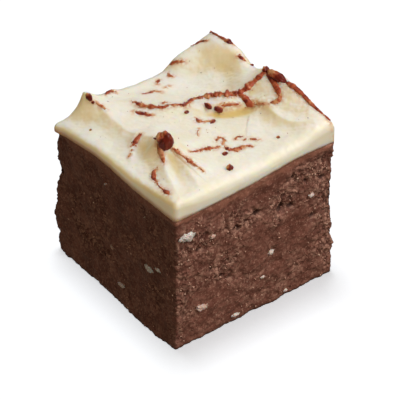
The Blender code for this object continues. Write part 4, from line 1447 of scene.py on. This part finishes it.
def make_stage(colours):
    """A pale floor, soft lights, a pale surrounding and the camera."""
    half = FLOOR_SIDE / 2
    floor_z = block_box[0].z / MM
    corners = [(x, y, floor_z) for x, y in ((-half, -half), (half, -half), (half, half), (-half, half))]
    mesh = bpy.data.meshes.new("floor")
    mesh.from_pydata(np.array(corners) * MM, [], [(0, 1, 2, 3)])
    mesh.materials.append(paper_material(colours))
    floor = bpy.data.objects.new("floor", mesh)
    bpy.context.scene.collection.objects.link(floor)
    floor.visible_diffuse = False
    floor.visible_glossy = False
    floor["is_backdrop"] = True
    world = bpy.data.worlds.new("studio")
    world.use_nodes = True
    bpy.context.scene.world = world
    sky = world.node_tree.nodes["Background"]
    sky.inputs["Color"].default_value = (*linear(SKY_COLOUR), 1)
    sky.inputs["Strength"].default_value = SKY_STRENGTH
    receivers = {"food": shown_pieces(), "white": [bpy.data.objects["white_layer"]], "floor": [floor]}
    lit = {}
    for kind, objects in receivers.items():
        lit[kind] = bpy.data.collections.new(f"lit {kind}")
        for obj in objects:
            lit[kind].objects.link(obj)
    for name, (azimuth, elevation, distance, size, power, colour, kind) in LIGHTS.items():
        soft_light(name, azimuth, elevation, distance, size, power, linear(colour), lit[kind])
    make_camera()
    bpy.context.scene.view_settings.view_transform = "Standard"


# Add-on


def colour(name, description, hex_colour):
    """A colour property with its default as an sRGB hex value."""
    return bpy.props.FloatVectorProperty(
        name=name, description=description, subtype="COLOR", size=3, min=0, max=1,
        default=linear(hex_colour),
    )


def length(name, description, value):
    """A length property with its default in mm."""
    return bpy.props.FloatProperty(
        name=name, description=description, unit="LENGTH", subtype="DISTANCE", min=0,
        precision=5, default=value * MM,
    )


class PralineColours(bpy.types.PropertyGroup):
    """Colours of the praline and of its floor."""

    fudge: colour("Fudge", "Smooth cut fudge", "88584A")
    fudge_dark: colour("Dark fudge", "Dark spots in the cut", "5C3428")
    fudge_deep: colour("Deep fudge", "Darker patches in the smooth cut", "6C4034")
    band: colour("Band", "Smooth fudge just under the white layer", "A06A56")
    # Paler crumbs of torn fudge, and on the torn fudge's high points a painted highlight.
    crumb: colour("Crumb", "Torn fudge on its high points", "D0A08A")
    crumb_pale: colour("Pale crumb", "The palest loose crumbs", "D8B49E")
    # Painted shade: laid between grains, in pits and dents and along the block's foot.
    pit_shade: colour("Pit", "Fudge deep in the pits", "3C2019")
    white: colour("White chocolate", "The layer's clean surface", "F5F3EB")
    white_warm: colour("Warm white", "Clouds in the white chocolate", "F1ECDA")
    # Painted shade: the yellow laid in hollows and on slopes, most on those facing -X.
    white_painted_shade: colour("Hollow", "White chocolate in the hollows", "E8CF88")
    smear: colour("Smear", "Dark chocolate wiped thin over the white", "D79C68")
    lip: colour("Lip", "White chocolate that picked up fudge at its lower edge", "B87E56")
    dark: colour("Dark chocolate", "Strokes of dark chocolate", "AE4E2C")
    dark_thick: colour("Thick dark", "Dark chocolate where it lies thick", "6E1C0E")
    dark_thin: colour("Thin dark", "Dark chocolate at its thin edges", "D89A68")
    fleck: colour("Fleck", "Pale flakes in the fudge", "EFE9E2")
    fleck_dull: colour("Dull fleck", "Duller fibres of the flakes", "D8C8C4")
    dust: colour("Dust", "Palest chocolate dust on the white", "A89888")
    paper: colour("Floor", "The floor", "F3F7FC")
    paper_fibre: colour("Floor fibre", "Fibres in the floor", "E4E8EC")


class PralineSizes(bpy.types.PropertyGroup):
    """Sizes of the detail that the plain solids leave out."""

    clump: length("Clumps", "Height of the clumps where the fudge is torn", CLUMP)
    grit: length("Grit", "Height of the grit where the fudge is torn", GRIT)
    drag_marks: length("Drag marks", "Height of the spatula's faint lines in the white", DRAG_HEIGHT)
    crumbs: bpy.props.IntProperty(
        name="Crumbs", description="Loose crumbs on the cut faces", min=0, default=CRUMBS
    )
    specks: bpy.props.IntProperty(
        name="Specks", description="Grains of dust on the white layer", min=0, default=SPECKS
    )


class PRALINE_OT_block(bpy.types.Operator):
    """Makes the knife cut block of fudge in place of the plain solid"""

    bl_idname = "praline.block"
    bl_label = "Fudge block"

    def execute(self, context):
        make_block(context.scene.praline_sizes, context.scene.praline_colours)
        return {"FINISHED"}


class PRALINE_OT_crumbs(bpy.types.Operator):
    """Makes the loose crumbs on the torn parts of the cut faces"""

    bl_idname = "praline.crumbs"
    bl_label = "Loose crumbs"

    def execute(self, context):
        make_crumbs(context.scene.praline_sizes, context.scene.praline_colours)
        return {"FINISHED"}


class PRALINE_OT_flecks(bpy.types.Operator):
    """Makes the pale flakes that the knife cut through"""

    bl_idname = "praline.flecks"
    bl_label = "Pale flecks"

    def execute(self, context):
        make_flecks(context.scene.praline_sizes, context.scene.praline_colours)
        return {"FINISHED"}


class PRALINE_OT_layer(bpy.types.Operator):
    """Makes the swirled layer of white chocolate in place of the plain solid"""

    bl_idname = "praline.layer"
    bl_label = "White layer"

    def execute(self, context):
        make_layer(context.scene.praline_sizes, context.scene.praline_colours)
        return {"FINISHED"}


class PRALINE_OT_strokes(bpy.types.Operator):
    """Makes the dark chocolate dragged along the crests"""

    bl_idname = "praline.strokes"
    bl_label = "Dark strokes"

    def execute(self, context):
        make_strokes(context.scene.praline_colours)
        return {"FINISHED"}


class PRALINE_OT_caps(bpy.types.Operator):
    """Makes the thick dark chocolate on the peaks and the loose drops"""

    bl_idname = "praline.caps"
    bl_label = "Dark caps"

    def execute(self, context):
        make_caps(context.scene.praline_colours)
        return {"FINISHED"}


class PRALINE_OT_dust(bpy.types.Operator):
    """Makes the specks of chocolate dust on the white layer"""

    bl_idname = "praline.dust"
    bl_label = "Chocolate dust"

    def execute(self, context):
        make_dust(context.scene.praline_sizes, context.scene.praline_colours)
        return {"FINISHED"}


class PRALINE_OT_stage(bpy.types.Operator):
    """Makes the pale floor, the soft lights and the camera"""

    bl_idname = "praline.stage"
    bl_label = "Stage"

    def execute(self, context):
        make_stage(context.scene.praline_colours)
        return {"FINISHED"}


OPERATORS = (
    PRALINE_OT_block,
    PRALINE_OT_crumbs,
    PRALINE_OT_flecks,
    PRALINE_OT_layer,
    PRALINE_OT_strokes,
    PRALINE_OT_caps,
    PRALINE_OT_dust,
    PRALINE_OT_stage,
)


class PRALINE_PT_panel(bpy.types.Panel):
    """The praline's settings and the buttons that make its pieces"""

    bl_idname = "PRALINE_PT_panel"
    bl_label = "Chocolate praline"
    bl_space_type = "VIEW_3D"
    bl_region_type = "UI"
    bl_category = "Praline"

    def draw(self, context):
        for operator in OPERATORS:
            self.layout.operator(operator.bl_idname)
        for group in (context.scene.praline_sizes, context.scene.praline_colours):
            for key in group.__annotations__:
                self.layout.prop(group, key)


CLASSES = (PralineColours, PralineSizes, *OPERATORS, PRALINE_PT_panel)


def register():
    for cls in CLASSES:
        bpy.utils.register_class(cls)
    bpy.types.Scene.praline_sizes = bpy.props.PointerProperty(type=PralineSizes)
    bpy.types.Scene.praline_colours = bpy.props.PointerProperty(type=PralineColours)


def unregister():
    del bpy.types.Scene.praline_colours
    del bpy.types.Scene.praline_sizes
    for cls in reversed(CLASSES):
        bpy.utils.unregister_class(cls)


def main():
    """Makes every piece in order."""
    register()
    bpy.ops.praline.block()
    bpy.ops.praline.crumbs()
    bpy.ops.praline.flecks()
    bpy.ops.praline.layer()
    bpy.ops.praline.strokes()
    bpy.ops.praline.caps()
    bpy.ops.praline.dust()
    bpy.ops.praline.stage()


if __name__ == "__main__":
    main()
